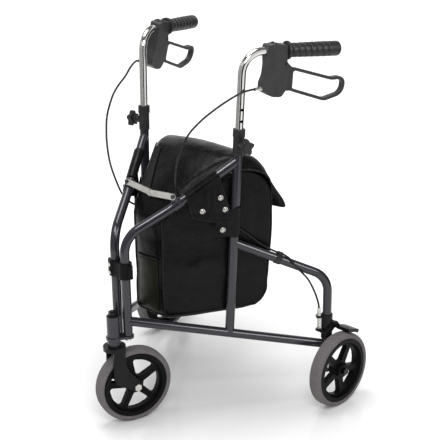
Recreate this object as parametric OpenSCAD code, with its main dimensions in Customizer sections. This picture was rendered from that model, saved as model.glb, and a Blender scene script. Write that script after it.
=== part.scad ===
// Three wheel rollator: two folding side frames, a swivelling front wheel, two braked rear wheels and a bag.
// Millimetres. X to the user's left, Y to the rear, Z up, ground at Z = 0, origin under the middle.

/* [Wheels] */
// Outside diameter of the three tyres
wheel_d = 190; // [170:1:196]
// Width of a tyre
tyre_w = 32; // [26:1:36]
// Height of the rubber above its seat on the rim
tyre_h = 17; // [12:1:20]
// Height of the rim lips beside the rubber
rim_lip = 3; // [1:0.5:6]
// Depth of the rim barrel below the tyre seat
rim_depth = 9; // [6:0.5:12]
// Number of spokes in a rim
spokes = 5; // [5:1:8]
// Width of a spoke
spoke_w = 14; // [10:1:22]
// Thickness of the spoked web
web_t = 14; // [8:1:18]
// Diameter of the plain middle of the web
web_mid_d = 42; // [42:1:60]
// Diameter of the hub
hub_d = 36; // [26:1:40]
// How far the hub stands out past the tyre on each side
hub_proud = 2; // [1:0.5:4]
// Diameter of the axle bolts
axle_d = 10; // [8:0.5:12]

/* [Frame] */
// Outside diameter of the frame tubes
tube_d = 22.2; // [20:0.1:24]
// Wall of the frame tubes
tube_wall = 1.2; // [1:0.1:1.6]
// Distance between the two upright front tubes
hinge_gap = 36; // [34:0.5:44]
// Angle of each side frame from straight ahead
open_angle = 32.5; // [28:0.5:36]
// Height at which the line of the lower slope meets the front tube
slope_z = 476; // [460:1:490]
// Bend radius at the top of the front tube
front_bend_r = 70; // [50:1:90]
// Distance of the kink in the slope from the front tube
kink_u = 104; // [95:1:112]
// Height of the kink in the slope
kink_z = 533; // [525:1:540]
// Bend radius of the kink
kink_r = 300; // [200:5:400]
// Height at which the slope meets the post
slope_top_z = 641; // [625:1:650]
// Distance of the post's foot from the front tube
post_u = 246; // [235:1:255]
// Lean of the post to the rear
post_lean = 3.1; // [2:0.1:4]
// Length of the post from the middle of the bottom tube
post_len = 505; // [490:1:520]
// Height at which the rear leg leaves the post
leg_top_z = 440; // [425:1:450]
// Distance of the upright part of the rear leg from the front tube
leg_u = 492; // [470:1:510]
// Height at which the line of the rear leg meets its upright part
leg_bend_z = 330; // [310:1:345]
// Bend radius of the rear leg
leg_bend_r = 60; // [40:1:75]
// How far the rear leg reaches below the axle
leg_foot = 18; // [14:1:24]
// Height of the bottom tube at the front
bottom_front_z = 266; // [262:1:275]
// Height of the bottom tube at the rear leg
bottom_rear_z = 150; // [140:1:152]
// Height of the lower end of the left front tube
left_end_z = 231; // [231:0.5:236]
// Height of the lower end of the right front tube
right_end_z = 216; // [212:0.5:230]

/* [Caster] */
// Distance of the swivel axis in front of the front tubes
head_reach = 29; // [28:0.5:34]
// Outside diameter of the head sleeve
sleeve_d = 32; // [30:0.5:36]
// Wall of the head sleeve
sleeve_wall = 3; // [2.5:0.5:4]
// Height of the lower end of the head sleeve
sleeve_z = 207; // [206:0.5:214]
// Length of the head sleeve
sleeve_len = 76; // [68:1:90]
// Diameter of the caster stem
stem_d = 12; // [10:0.5:14]
// Distance of the front axle behind the swivel axis
trail = 45; // [35:1:50]
// Turn of the caster at rest
caster_turn = -16.5; // [-30:0.5:30]
// Diameter of the fork crown
crown_d = 54; // [50:1:60]
// Thickness of the fork crown
crown_t = 10; // [7:0.5:12]
// Thickness of a fork leg
fork_t = 5; // [4:0.5:7]
// Thickness of the hinge plate
hinge_plate_t = 6; // [4:0.5:6]
// Height of the upper face of the hinge plate
hinge_plate_z = 230; // [226:0.5:230]
// Diameter of the hinge pivot bolt
pivot_bolt_d = 8; // [6:0.5:10]

/* [Hinge clamp] */
// Height of the lower face of the hinge clamp
clamp_z = 376; // [360:1:385]
// Height of the hinge clamp
clamp_h = 38; // [30:1:42]
// Wall of the hinge clamp round a tube
clamp_wall = 5; // [4:0.5:6]
// Reach of the clamp ears beyond the tube walls
clamp_ear = 13; // [8:0.5:18]

/* [Handles] */
// Outside diameter of the plated handle tubes
handle_d = 19; // [17:0.1:19]
// Wall of the handle tubes
handle_wall = 1.5; // [1.2:0.1:2]
// Angle of the left handle from straight back
left_toe = 16; // [8:0.5:26]
// Angle of the right handle from straight back
right_toe = 18; // [8:0.5:26]
// How much higher the right handle is set than the left one
right_lift = 8; // [-10:1:12]
// How far the right brake is turned outwards on its bar
right_roll = 12; // [-5:1:20]
// Slope of the handle bars down to the rear
bar_droop = 1; // [0:0.1:2]
// Height of the handle bar along the post
handle_h = 684; // [670:1:700]
// Length of the handle tube below its bar
handle_drop = 356; // [340:1:370]
// Bend radius of the handle tube
handle_bend_r = 50; // [42:1:52]
// Length of the handle tube behind the post
handle_len = 246; // [238:1:248]
// Distance between the height holes
hole_pitch = 27; // [20:0.5:28]
// Diameter of the height holes
hole_d = 7; // [5:0.5:8]
// Distance of the grip's collar behind the post
grip_start = 111.5; // [111.5:0.5:114]
// Distance of the grip's end behind the post
grip_end = 256; // [253:1:266]
// Diameter of the grip at its front
grip_front_d = 32.5; // [30:0.5:36]
// Diameter of the grip near its end
grip_rear_d = 35; // [32:0.5:38]
// Diameter of the grip's collar
grip_collar_d = 43; // [39:0.5:46]
// Height of the post collar's ring
collar_ring_h = 18; // [14:1:20]
// Height of the post collar's sleeve
collar_sleeve_h = 42; // [36:1:48]
// Wall of the post collar's sleeve
collar_wall = 1.8; // [1.4:0.1:2.4]
// Distance of the knob below the top of the post collar
knob_drop = 35; // [30:1:42]
// Outside diameter of the star knob
knob_d = 40; // [32:1:44]
// Number of lobes on the star knob
knob_lobes = 5; // [4:1:7]
// Diameter of the knob's stud
stud_d = 6; // [5:0.5:8]

/* [Brakes] */
// Thickness of the brake housing
housing_t = 27; // [25:0.5:32]
// Width of the slot for the lever
slot_w = 15; // [14.5:0.5:17]
// Thickness of the lever
lever_t = 14; // [10:0.5:14]
// Width of the lever's bar
lever_bar = 7; // [5:0.5:8]
// Diameter of the lever's pin
lever_pin_d = 6; // [5:0.5:7]
// Outside diameter of the brake cable
cable_d = 5; // [4:0.1:5]
// Travel of the brake arm in degrees
brake_travel = 5; // [4:0.5:6]
// Gap between shoe and tyre with the brake full on
shoe_gap = 0.5; // [0.4:0.1:1]
// Thickness of the shoe
shoe_t = 9; // [6:0.5:12]
// Diameter of the brake arm's pin
arm_pin_d = 6; // [5:0.5:7]
// Mean diameter of the brake spring
spring_d = 9; // [8:0.5:10]
// Wire diameter of the brake spring
spring_wire = 1.4; // [1.2:0.1:1.6]
// Number of curls in the brake spring
spring_curls = 6; // [5:1:7]
// Distance of the rear wheel's middle outside the leg
wheel_out = 40; // [40:0.5:46]

/* [Brace] */
// Distance of the brace pivots from the front tubes along the frames
brace_u = 122; // [120:0.5:126]
// Height of the brace pivots above the tube's middle
brace_rise = 21.5; // [21.5:0.5:25]
// How far the middle pivot lies below the outer ones
brace_dip = 8; // [4:0.5:9]
// Width of a brace link
link_w = 15; // [12:0.5:16]
// Thickness of the brace links and lugs
link_t = 3; // [2:0.5:3]
// Diameter of the brace rivets
rivet_d = 6; // [5:0.5:7]

/* [Bag] */
// Distance of the bag's sides from the middle of the frame tubes
bag_inset = 19.5; // [19.5:0.5:24]
// Distance of the bag's front behind the front tubes
bag_front = 88; // [84:1:94]
// Depth of the bag from front to rear
bag_depth = 230; // [215:1:240]
// Height of the bag's floor
bag_floor_z = 256; // [256:1:275]
// Height of the top of the bag's front panel
bag_front_z = 500; // [480:1:510]
// How far the lid's front edge lies behind the front panel
bag_tuck = 24; // [24:1:32]
// Height of the lid's front edge
bag_lip_z = 548; // [540:1:552]
// Height of the lid at its highest
bag_crest_z = 627; // [620:1:632]
// Distance of the lid's highest line behind the front tubes
bag_crest = 238; // [230:1:246]
// Height at which the lines of the lid and of the rear panel meet
bag_rear_z = 625; // [615:1:628]
// Radius of the bag's rear top edge
bag_rear_r = 52; // [30:1:56]
// Thickness of the bag's lined panels
bag_wall = 2.5; // [1.5:0.5:4]
// Thickness of the lid
lid_t = 6; // [4:0.5:8]
// Height of the rear flap's lower edge
lid_low_z = 505; // [490:1:530]
// Distance of the rear flap's lower edge behind the rear panel
lid_swing = 22; // [12:1:28]
// Thickness of the bag's side flaps
flap_t = 2; // [1.5:0.1:2.4]

/* [Fits] */
// Radial clearance of turning pins
run_fit = 0.05; // [0.02:0.01:0.09]
// Clearance at welded and pressed joints
joint_gap = 0.1; // [0.05:0.05:0.2]
// Clearance between parts that move past each other
move_gap = 0.5; // [0.4:0.1:0.6]

/* [Node] */
// Sub-part to show

/* [Hidden] */
$fn = 48;

tube_r = tube_d / 2;
tube_in_d = tube_d - 2 * tube_wall;
weld_d = tube_d + 2 * joint_gap;
hinge_x = hinge_gap / 2;
wheel_r = wheel_d / 2;
axle_z = wheel_r;

// The part is centred front to back between the caster tyre and the rear tyres
front_reach = head_reach - trail * cos(caster_turn) + wheel_r * cos(caster_turn)
    + (tyre_w / 2 - 6.2) * abs(sin(caster_turn));
rear_reach = leg_u * cos(open_angle) + wheel_r;
hinge_y = (front_reach - rear_reach) / 2;

leg_x = hinge_x + leg_u * sin(open_angle);
leg_y = hinge_y + leg_u * cos(open_angle);

// Height of the bottom tube's middle and of the post's foot on it
function bottom_z(u) = bottom_front_z + (bottom_rear_z - bottom_front_z) * u / leg_u;
post_z = bottom_z(post_u);
function post_u_at(z) = post_u + (z - post_z) * tan(post_lean);
slope_top_u = post_u_at(slope_top_z);
leg_top_u = post_u_at(leg_top_z);
slope_rate = (slope_top_z - kink_z) / (slope_top_u - kink_u);
function slope_z_at(u) = kink_z + slope_rate * (u - kink_u);

// Two-dimensional outlines with rounded corners
function unit(v) = v / norm(v);
function wrap(i, n) = (i + n) % n;
function pick(r, i) = is_list(r) ? r[i] : r;
function outline(p, r, d = 0, n = 6) = [
    for (i = [0:len(p) - 1])
    let (m = len(p), ri = pick(r, i))
    let (a = unit(p[i] - p[wrap(i - 1, m)]), b = unit(p[wrap(i + 1, m)] - p[i]))
    let (t = atan2(a.x * b.y - a.y * b.x, a * b), s = t < 0 ? -1 : 1)
    let (start = p[i] - a * ri * tan(abs(t) / 2))
    let (c = start + s * ri * [-a.y, a.x], f = atan2(-s * a.x, s * a.y))
    for (k = [0:n]) c + (ri + s * d) * [cos(f + t * k / n), sin(f + t * k / n)]];

function hex_points(w) = [for (i = [0:5]) w / sqrt(3) * [cos(60 * i), sin(60 * i)]];

module hex(w, h) {
    linear_extrude(h) polygon(hex_points(w));
}

// Straight and bent round bar along a path in the X-Z plane: a bend is a hair thinner than the
// straights, as a drawn tube is, and runs a little way into them
bend_thin = 0.1;
bend_lap = 0.4;
function leg_dir(p, i) = unit(p[i + 1] - p[i]);
function turn_at(p, i) = let (a = leg_dir(p, i - 1), b = leg_dir(p, i))
    atan2(a.x * b.y - a.y * b.x, a * b);
function trim_at(p, r, i) = i <= 0 || i >= len(p) - 1 ? 0 : r[i] * tan(abs(turn_at(p, i)) / 2);

module run(p, r, d) {
    for (i = [0:len(p) - 2]) {
        a = leg_dir(p, i);
        s = p[i] + a * trim_at(p, r, i);
        l = norm(p[i + 1] - p[i]) - trim_at(p, r, i) - trim_at(p, r, i + 1);
        translate([s.x, 0, s.y]) rotate([0, 90 - atan2(a.y, a.x), 0]) cylinder(d = d, h = l);
    }
    if (len(p) > 2) {
        for (i = [1:len(p) - 2]) {
            a = leg_dir(p, i - 1);
            t = turn_at(p, i);
            s = t < 0 ? -1 : 1;
            c = p[i] - a * trim_at(p, r, i) + s * r[i] * [-a.y, a.x];
            f = atan2(a.y, a.x) + (t < 0 ? 90 + t : -90);
            lap = bend_lap / r[i] * 180 / PI;
            translate([c.x, 0, c.y]) rotate([90, 0, 0]) rotate([0, 0, f - lap])
                rotate_extrude(angle = abs(t) + 2 * lap) translate([r[i], 0]) circle(d = d - bend_thin);
        }
    }
}

// Round bar along a list of points in space, with a side direction given for each point
function path_dir(p, i) = unit(p[min(i + 1, len(p) - 1)] - p[max(i - 1, 0)]);
function ring(c, t, side, r, n) = let (a = unit(cross(t, side)), b = cross(t, a))
    [for (k = [0:n - 1]) c + r * (cos(360 * k / n) * a + sin(360 * k / n) * b)];

module bar_along(p, sides, r, n) {
    m = len(p);
    points = [for (i = [0:m - 1]) each ring(p[i], path_dir(p, i), sides[i], r, n)];
    walls = [for (i = [0:m - 2]) for (k = [0:n - 1]) let (j = (k + 1) % n)
        each [[i * n + k, (i + 1) * n + k, i * n + j], [i * n + j, (i + 1) * n + k, (i + 1) * n + j]]];
    first = [for (k = [0:n - 1]) k];
    last = [for (k = [0:n - 1]) m * n - 1 - k];
    polyhedron(points = points, faces = concat(walls, [first, last]));
}

// Smooth curve through points
function curve_at(p, i, t) = let (m = len(p) - 1)
    let (a = p[max(i - 1, 0)], b = p[i], c = p[i + 1], d = p[min(i + 2, m)])
    b + t * ((c - a) / 2 + t * ((2 * a - 5 * b + 4 * c - d) / 2 + t * (3 * b - a - 3 * c + d) / 2));
function curve(p, n) = concat(
    [for (i = [0:len(p) - 2]) for (k = [0:n - 1]) curve_at(p, i, k / n)], [p[len(p) - 1]]);

// Places: side frames have X along the frame from the front tube, Y inwards and Z up.
// $toe, $lift and $roll hold the angle and height of that side's handle and the turn of its brake
module on_left() {
    $toe = left_toe;
    $lift = 0;
    $roll = 0;
    translate([hinge_x, hinge_y, 0]) rotate([0, 0, 90 - open_angle]) children();
}

module on_right() {
    $toe = right_toe;
    $lift = right_lift;
    $roll = right_roll;
    mirror([1, 0, 0]) translate([hinge_x, hinge_y, 0]) rotate([0, 0, 90 - open_angle]) children();
}

// X rearwards in the frame, Z along the post from the middle of the bottom tube
module on_post() {
    translate([post_u, 0, post_z]) rotate([0, post_lean, 0]) children();
}

// X along the handle bar, Y inwards, Z along the post
module on_handle() {
    on_post() rotate([0, 0, open_angle - $toe]) children();
}

// The same for the pieces on the handle tube, as high as it is set
module on_bar() {
    on_handle() translate([0, 0, $lift]) children();
}

// The same for the brake, which is turned about the bar's middle
module on_brake() {
    on_bar() translate([0, 0, handle_h]) rotate([0, bar_droop, 0]) rotate([-$roll, 0, 0])
        rotate([0, -bar_droop, 0]) translate([0, 0, -handle_h]) children();
}

// X outwards, Y to the rear, Z up, over the foot of the rear leg
module at_left_leg() {
    translate([leg_x, leg_y, 0]) children();
}

module at_right_leg() {
    mirror([1, 0, 0]) at_left_leg() children();
}

// X sideways and Y rearwards for the turned caster
module at_caster() {
    translate([0, hinge_y - head_reach, 0]) rotate([0, 0, caster_turn]) children();
}

// Frame tubes
module main_tube(end_z, plug_h, plug_hole) {
    path = [[0, end_z], [0, slope_z], [kink_u, kink_z], [slope_top_u, slope_top_z]];
    inner = [[0, end_z + plug_h], [0, slope_z], [kink_u, kink_z], [slope_top_u, slope_top_z]];
    bends = [0, front_bend_r, kink_r, 0];
    difference() {
        run(path, bends, tube_d);
        run(inner, bends, tube_in_d);
        on_post() cylinder(d = weld_d, h = post_len);
        translate([0, 0, end_z - 1]) cylinder(d = plug_hole, h = plug_h + 2);
    }
}

module left_main_tube() {
    color([0.23, 0.23, 0.27]) on_left() main_tube(left_end_z, 15, pivot_bolt_d + 2 * run_fit);
}

module right_main_tube() {
    color([0.23, 0.23, 0.27]) on_right() main_tube(right_end_z, 0, tube_in_d);
}

module post() {
    difference() {
        on_post() cylinder(d = tube_d, h = post_len);
        on_post() translate([0, 0, -1]) cylinder(d = tube_in_d, h = post_len + 2);
        run([[0, bottom_front_z], [leg_u, bottom_rear_z]], [0, 0], weld_d);
        on_handle() translate([0, 0, knob_h]) rotate([90, 0, 0])
            cylinder(d = stud_d + 2 * move_gap, h = tube_d);
    }
}

module left_post() {
    color([0.23, 0.23, 0.27]) on_left() post();
}

module right_post() {
    color([0.23, 0.23, 0.27]) on_right() post();
}

module bottom_tube() {
    path = [[0, bottom_front_z], [leg_u, bottom_rear_z]];
    difference() {
        run(path, [0, 0], tube_d);
        run(path, [0, 0], tube_in_d);
        translate([0, 0, bottom_front_z - 50]) cylinder(d = weld_d, h = 100);
        translate([leg_u, 0, bottom_rear_z - 50]) cylinder(d = weld_d, h = 100);
    }
}

module left_bottom_tube() {
    color([0.23, 0.23, 0.27]) on_left() bottom_tube();
}

module right_bottom_tube() {
    color([0.23, 0.23, 0.27]) on_right() bottom_tube();
}

module rear_leg() {
    path = [[leg_top_u, leg_top_z], [leg_u, leg_bend_z], [leg_u, axle_z - leg_foot]];
    bends = [0, leg_bend_r, 0];
    difference() {
        run(path, bends, tube_d);
        run(path, bends, tube_in_d);
        on_post() cylinder(d = weld_d, h = post_len);
        translate([leg_u, 0, axle_z]) rotate([0, 0, open_angle - 90]) rotate([0, 90, 0])
            translate([0, 0, -tube_d]) cylinder(d = axle_d + 2 * joint_gap, h = 2 * tube_d);
    }
}

module left_rear_leg() {
    color([0.23, 0.23, 0.27]) on_left() rear_leg();
}

module right_rear_leg() {
    color([0.23, 0.23, 0.27]) on_right() rear_leg();
}

// Post collar with a boss for the knob, and a lip round the handle tube
collar_top = post_len + 3;
knob_h = collar_top - knob_drop;
collar_sleeve_r = tube_r + collar_wall;
boss_end = 21;

module post_collar() {
    ring_z = collar_top - collar_ring_h;
    difference() {
        union() {
            on_post() translate([0, 0, ring_z - collar_sleeve_h])
                cylinder(r = collar_sleeve_r, h = collar_sleeve_h + 1);
            on_post() translate([0, 0, ring_z]) cylinder(r = collar_sleeve_r + 1.5, h = collar_ring_h);
            on_handle() translate([0, 0, knob_h]) rotate([90, 0, 0]) cylinder(d = 17, h = boss_end);
        }
        on_post() cylinder(d = tube_d + 2 * run_fit, h = post_len);
        on_post() cylinder(d = handle_d + 2 * run_fit, h = collar_top + 1);
        on_handle() translate([0, 0, knob_h]) rotate([90, 0, 0]) cylinder(d = stud_d + 2 * move_gap, h = 40);
    }
}

module left_post_collar() {
    color([0.05, 0.05, 0.06]) on_left() post_collar();
}

module right_post_collar() {
    color([0.05, 0.05, 0.06]) on_right() post_collar();
}

// Lobed outline of the knob: the radius swells and shrinks once for each lobe
function star(d) = [for (a = [0:360 / (12 * knob_lobes):359.9])
    d * (0.42 + 0.08 * cos(knob_lobes * a)) * [-sin(a), cos(a)]];

module knob() {
    stud_from = handle_d / 2 + move_gap;
    on_handle() translate([0, 0, knob_h]) rotate([90, 0, 0]) {
        translate([0, 0, stud_from]) cylinder(d = stud_d, h = boss_end + 4 - stud_from);
        translate([0, 0, boss_end + move_gap]) cylinder(d = knob_d * 0.42, h = 10);
        translate([0, 0, boss_end + 7]) linear_extrude(11) polygon(star(knob_d));
        translate([0, 0, boss_end + 15]) cylinder(d = knob_d * 0.5, h = 5);
    }
}

module left_knob() {
    color([0.06, 0.06, 0.07]) on_left() knob();
}

module right_knob() {
    color([0.06, 0.06, 0.07]) on_right() knob();
}

// Handle tube, grip and brake housing
module handle_tube() {
    path = [[0, handle_h - handle_drop], [0, handle_h], [handle_len, handle_h - handle_len * tan(bar_droop)]];
    bends = [0, handle_bend_r, 0];
    difference() {
        on_bar() run(path, bends, handle_d);
        on_bar() run(path, bends, handle_d - 2 * handle_wall);
        for (i = [-2:3]) on_handle() translate([0, handle_d, knob_h + i * hole_pitch])
            rotate([90, 0, 0]) cylinder(d = hole_d, h = 2 * handle_d);
    }
}

module left_handle_tube() {
    color([0.75, 0.76, 0.78]) on_left() handle_tube();
}

module right_handle_tube() {
    color([0.75, 0.76, 0.78]) on_right() handle_tube();
}

module grip() {
    r = handle_d / 2 + joint_gap / 2;
    c = grip_collar_d / 2;
    f = grip_front_d / 2;
    e = grip_rear_d / 2;
    on_bar() translate([0, 0, handle_h]) rotate([0, 90 + bar_droop, 0]) rotate_extrude()
        polygon([[r, grip_start], [c - 2, grip_start], [c, grip_start + 2], [c, grip_start + 6],
            [c - 2, grip_start + 9], [f, grip_start + 11], [e, grip_end - 30], [e, grip_end - 8],
            [e - 2, grip_end - 3], [e - 6, grip_end], [0, grip_end], [0, handle_len + joint_gap],
            [r, handle_len + joint_gap]]);
}

module left_grip() {
    color([0.09, 0.09, 0.1]) on_left() grip();
}

module right_grip() {
    color([0.09, 0.09, 0.1]) on_right() grip();
}

// Brake housing outline along the bar and below it, the lever's pin, and the adjuster's two ends
housing_shape = [[58, -11], [60, -32], [58, -55], [51, -73], [50, -92], [73, -105], [99, -107],
    [112, -90], [114, -37], [114, -30], [110.5, -25.5], [110.5, 13], [92, 14], [81, 17], [71, 14.5],
    [58, 14.5]];
housing_round = [3, 40, 30, 6, 9, 40, 12, 8, 4, 4, 4, 4, 6, 6, 6, 5];
lever_pin = [107, -31];
adjuster_from = [54, -7.2, -84];
adjuster_to = [28, -12.5, -84];

// Two clamp screws stand on the bar's upper side
screw_d = 7;

module screw_seats(d, h) {
    for (y = [-7, 7]) on_brake() translate([81, y, handle_h + 13]) cylinder(d = d, h = h);
}

// Lies a flat shape of the handle's plane in place, with its thickness sideways
module in_handle_plane(t) {
    on_brake() translate([0, t / 2, handle_h]) rotate([90, 0, 0]) linear_extrude(t) children();
}

module adjuster_rod(d, from, h) {
    a = adjuster_to - adjuster_from;
    on_brake() translate(adjuster_from + [0, 0, handle_h]) rotate([0, 0, atan2(a.y, a.x)]) rotate([0, 90, 0])
        translate([0, 0, from]) cylinder(d = d, h = h);
}

module brake_housing() {
    difference() {
        in_handle_plane(housing_t) polygon(outline(housing_shape, housing_round));
        on_brake() translate([0, 0, handle_h]) rotate([0, 90 + bar_droop, 0]) translate([0, 0, 40])
            cylinder(d = handle_d + joint_gap, h = 90);
        in_handle_plane(slot_w)
            polygon([[90, -17], [122, -17], [122, -115], [106, -115], [100, -70], [90, -44]]);
        in_handle_plane(housing_t + 2) translate(lever_pin) circle(d = lever_pin_d + joint_gap);
        screw_seats(screw_d + joint_gap, 20);
        adjuster_rod(7, -2, 30);
    }
}

module left_brake_housing() {
    color([0.06, 0.06, 0.07]) on_left() brake_housing();
}

module right_brake_housing() {
    color([0.06, 0.06, 0.07]) on_right() brake_housing();
}

module housing_screws() {
    in_handle_plane(housing_t + 1) translate(lever_pin) circle(d = lever_pin_d);
    difference() {
        screw_seats(screw_d, 5);
        for (y = [-7, 7]) on_brake() translate([81, y, handle_h + 16.5]) hex(3.5, 3);
    }
}

module left_housing_screws() {
    color([0.7, 0.7, 0.72]) on_left() housing_screws();
}

module right_housing_screws() {
    color([0.7, 0.7, 0.72]) on_right() housing_screws();
}

// Looped brake lever: a closed bar with a root plate that turns on the pin
lever_path = [[126, -92], [222, -122.5], [272, -110], [276, -72], [240, -74], [128, -43]];
lever_round = [12, 30, 24, 15, 40, 10];
lever_root = [[100, -36], [104, -44], [113, -60], [115, -95], [132, -95], [133, -44], [113, -27], [104, -23]];

module brake_lever() {
    difference() {
        union() {
            in_handle_plane(lever_t) difference() {
                polygon(outline(lever_path, lever_round, lever_bar / 2));
                polygon(outline(lever_path, lever_round, -lever_bar / 2));
            }
            in_handle_plane(lever_t - 2) polygon(outline(lever_root, 3));
        }
        in_handle_plane(lever_t + 2) translate(lever_pin) circle(d = lever_pin_d + 2 * run_fit);
    }
}

module left_brake_lever() {
    color([0.07, 0.07, 0.08]) on_left() brake_lever();
}

module right_brake_lever() {
    color([0.07, 0.07, 0.08]) on_right() brake_lever();
}

module cable_adjuster() {
    l = norm(adjuster_to - adjuster_from);
    difference() {
        union() {
            adjuster_rod(6.8, 0, 12);
            adjuster_rod(9.5, 8, 4);
            adjuster_rod(8, 11, l - 11);
        }
        adjuster_rod(cable_d + 1, l - 8, 9);
    }
}

module left_cable_adjuster() {
    color([0.75, 0.76, 0.78]) on_left() cable_adjuster();
}

module right_cable_adjuster() {
    color([0.75, 0.76, 0.78]) on_right() cable_adjuster();
}

// Routes of the brake cables in their side frames: along the frame, inwards, height. The left one hangs
// forward in a loop, and the right one bows out beyond its frame and comes in under the slope
cable_front_left = [[313.2, -1.7, 805.3], [308.8, -4, 805.5], [298, -9.6, 806], [273, -15, 801],
    [238, -16, 783], [208, -14.5, 763], [183, -12, 743], [158, -7, 716], [146, -3.5, 694],
    [136, 0.5, 668], [129, 5, 643], [126, 10, 614], [126, 14, 588], [131, 15, 567],
    [143, 15.5, 551], [165, 15.8, 540], [192, 15.8, 527], [226, 15.8, 505]];
cable_front_right = [[318.1, -19.6, 817.1], [313.6, -21.7, 817.6], [303, -26.8, 818], [289, -36, 806],
    [275, -46, 786], [257, -60, 765], [238, -69, 743], [205, -73, 705], [178, -68, 669],
    [160, -61, 636], [146, -51, 600], [133, -33, 560], [127, -17.5, 531], [128, -2, 514],
    [136, 9, 504], [153, 15, 500], [190, 15.8, 498], [226, 15.8, 491]];
cable_rear = [[260, 15.8, 481], [292, 12.5, 456], [320, 7, 432], [342, 2, 418], [357, 0, 410],
    [366, 0, 405.5], [379, 0, 399.4], [393.5, -8.5, 389.5], [406, -14.5, 371], [424, -12, 351],
    [438, -7, 334], [450, -3.5, 313], [461, -1.5, 288], [468.5, -0.4, 265], [471, 0, 250.6]];

module brake_cable(front) {
    path = curve(concat(front, cable_rear), 2);
    bar_along(path, [for (i = path) [0, 1, 0]], cable_d / 2, 8);
}

module left_brake_cable() {
    color([0.08, 0.08, 0.09]) on_left() brake_cable(cable_front_left);
}

module right_brake_cable() {
    color([0.08, 0.08, 0.09]) on_right() brake_cable(cable_front_right);
}

// Clip that holds the cable on top of the rear leg
clip_u = 366;
leg_slope = atan2(leg_bend_z - leg_top_z, leg_u - leg_top_u);
clip_z = leg_top_z + (clip_u - leg_top_u) * tan(leg_slope);

module cable_clip() {
    translate([clip_u, 0, clip_z]) rotate([0, 90 - leg_slope, 0]) difference() {
        union() {
            translate([0, 0, -7]) cylinder(r = tube_r + 2, h = 14);
            translate([-tube_r - 2.8, 0, -7]) cylinder(d = cable_d + 4.5, h = 14);
        }
        translate([0, 0, -8]) cylinder(r = tube_r + joint_gap, h = 16);
        translate([-tube_r - 3.5, 0, -8]) cylinder(d = cable_d + 1.4, h = 16);
        translate([-tube_r - 12, -2.2, -8]) cube([8, 4.4, 16]);
    }
}

module left_cable_clip() {
    color([0.06, 0.06, 0.07]) on_left() cable_clip();
}

module right_cable_clip() {
    color([0.06, 0.06, 0.07]) on_right() cable_clip();
}

// Brake on the rear leg: the cable comes down in front of the leg, along the frame
bracket_z = 168;
stop_z = 224;
stop_t = 6;
bar_z = 188;
bar_t = 6;
pull_x = -21 * sin(open_angle);
pull_y = -21 * cos(open_angle);
arm_x = tube_r + 4.5;
arm_t = 4;
arm_pin = [6, 207];

module brake_bracket() {
    difference() {
        union() {
            translate([0, 0, bracket_z]) cylinder(r = tube_r + 3, h = stop_z + stop_t + 2 - bracket_z);
            translate([0, 0, stop_z]) rotate([0, 0, -90 - open_angle]) translate([9, -6, 0])
                cube([18.5, 12, stop_t]);
            translate([4, arm_pin.x - 7, arm_pin.y - 7]) cube([arm_x - move_gap - 4, 14, 14]);
            translate([arm_x - 2, arm_pin.x, arm_pin.y]) rotate([0, 90, 0]) {
                cylinder(d = arm_pin_d, h = arm_t + 4);
                translate([0, 0, arm_t + move_gap + 2]) cylinder(d = 10, h = 2.5);
            }
        }
        translate([0, 0, bracket_z - 1]) cylinder(r = tube_r + joint_gap, h = 80);
        translate([pull_x, pull_y, stop_z - 1]) cylinder(d = 3, h = stop_t + 2);
    }
}

module left_brake_bracket() {
    color([0.07, 0.07, 0.08]) at_left_leg() brake_bracket();
}

module right_brake_bracket() {
    color([0.07, 0.07, 0.08]) at_right_leg() brake_bracket();
}

// Barrel on the cable stop, with the bare wire down through the spring
module brake_adjuster() {
    top = 250;
    translate([pull_x, pull_y, stop_z + stop_t]) {
        hex(11, 4);
        cylinder(d = 8, h = top - stop_z - stop_t);
    }
    translate([pull_x, pull_y, bar_z - 2]) cylinder(d = 1.6, h = top - bar_z);
}

module left_brake_adjuster() {
    color([0.75, 0.76, 0.78]) at_left_leg() brake_adjuster();
}

module right_brake_adjuster() {
    color([0.75, 0.76, 0.78]) at_right_leg() brake_adjuster();
}

// Bell crank with its shoe over the tyre, drawn closed on the tyre and then swung open. The wire hangs in an
// open slot of its bar, so the bar can swing past it
module brake_arm() {
    shoe_in = wheel_r + shoe_gap;
    shoe_out = wheel_out + tyre_w / 2 - 2;
    plate = [[-23, 184], [-10, 186], [8, 198], [24, 189], [30, 197], [16, 213], [2, 215], [-6, 206],
        [-23, 198]];
    difference() {
        union() {
            translate([arm_x, 0, 0]) rotate([90, 0, 90]) linear_extrude(arm_t) polygon(outline(plate, 3));
            translate([pull_x - 6, pull_y - 5, bar_z]) cube([arm_x - pull_x + 6 + arm_t, 8.5, bar_t]);
            translate([0, arm_pin.x, arm_pin.y]) rotate([brake_travel, 0, 0])
                translate([arm_x, -arm_pin.x, axle_z - arm_pin.y]) rotate([90, 0, 90]) rotate([0, 0, 56])
                rotate_extrude(angle = 23) translate([shoe_in, 0]) square([shoe_t, shoe_out - arm_x]);
        }
        translate([0, arm_pin.x, arm_pin.y]) rotate([0, 90, 0]) cylinder(d = arm_pin_d + 2 * run_fit, h = 60);
        translate([pull_x, pull_y, bar_z - 1]) cylinder(d = 3.2, h = bar_t + 2);
        translate([pull_x - 1.6, pull_y, bar_z - 1]) cube([3.2, 5, bar_t + 2]);
    }
}

module left_brake_arm() {
    color([0.07, 0.07, 0.08]) at_left_leg() brake_arm();
}

module right_brake_arm() {
    color([0.07, 0.07, 0.08]) at_right_leg() brake_arm();
}

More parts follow.
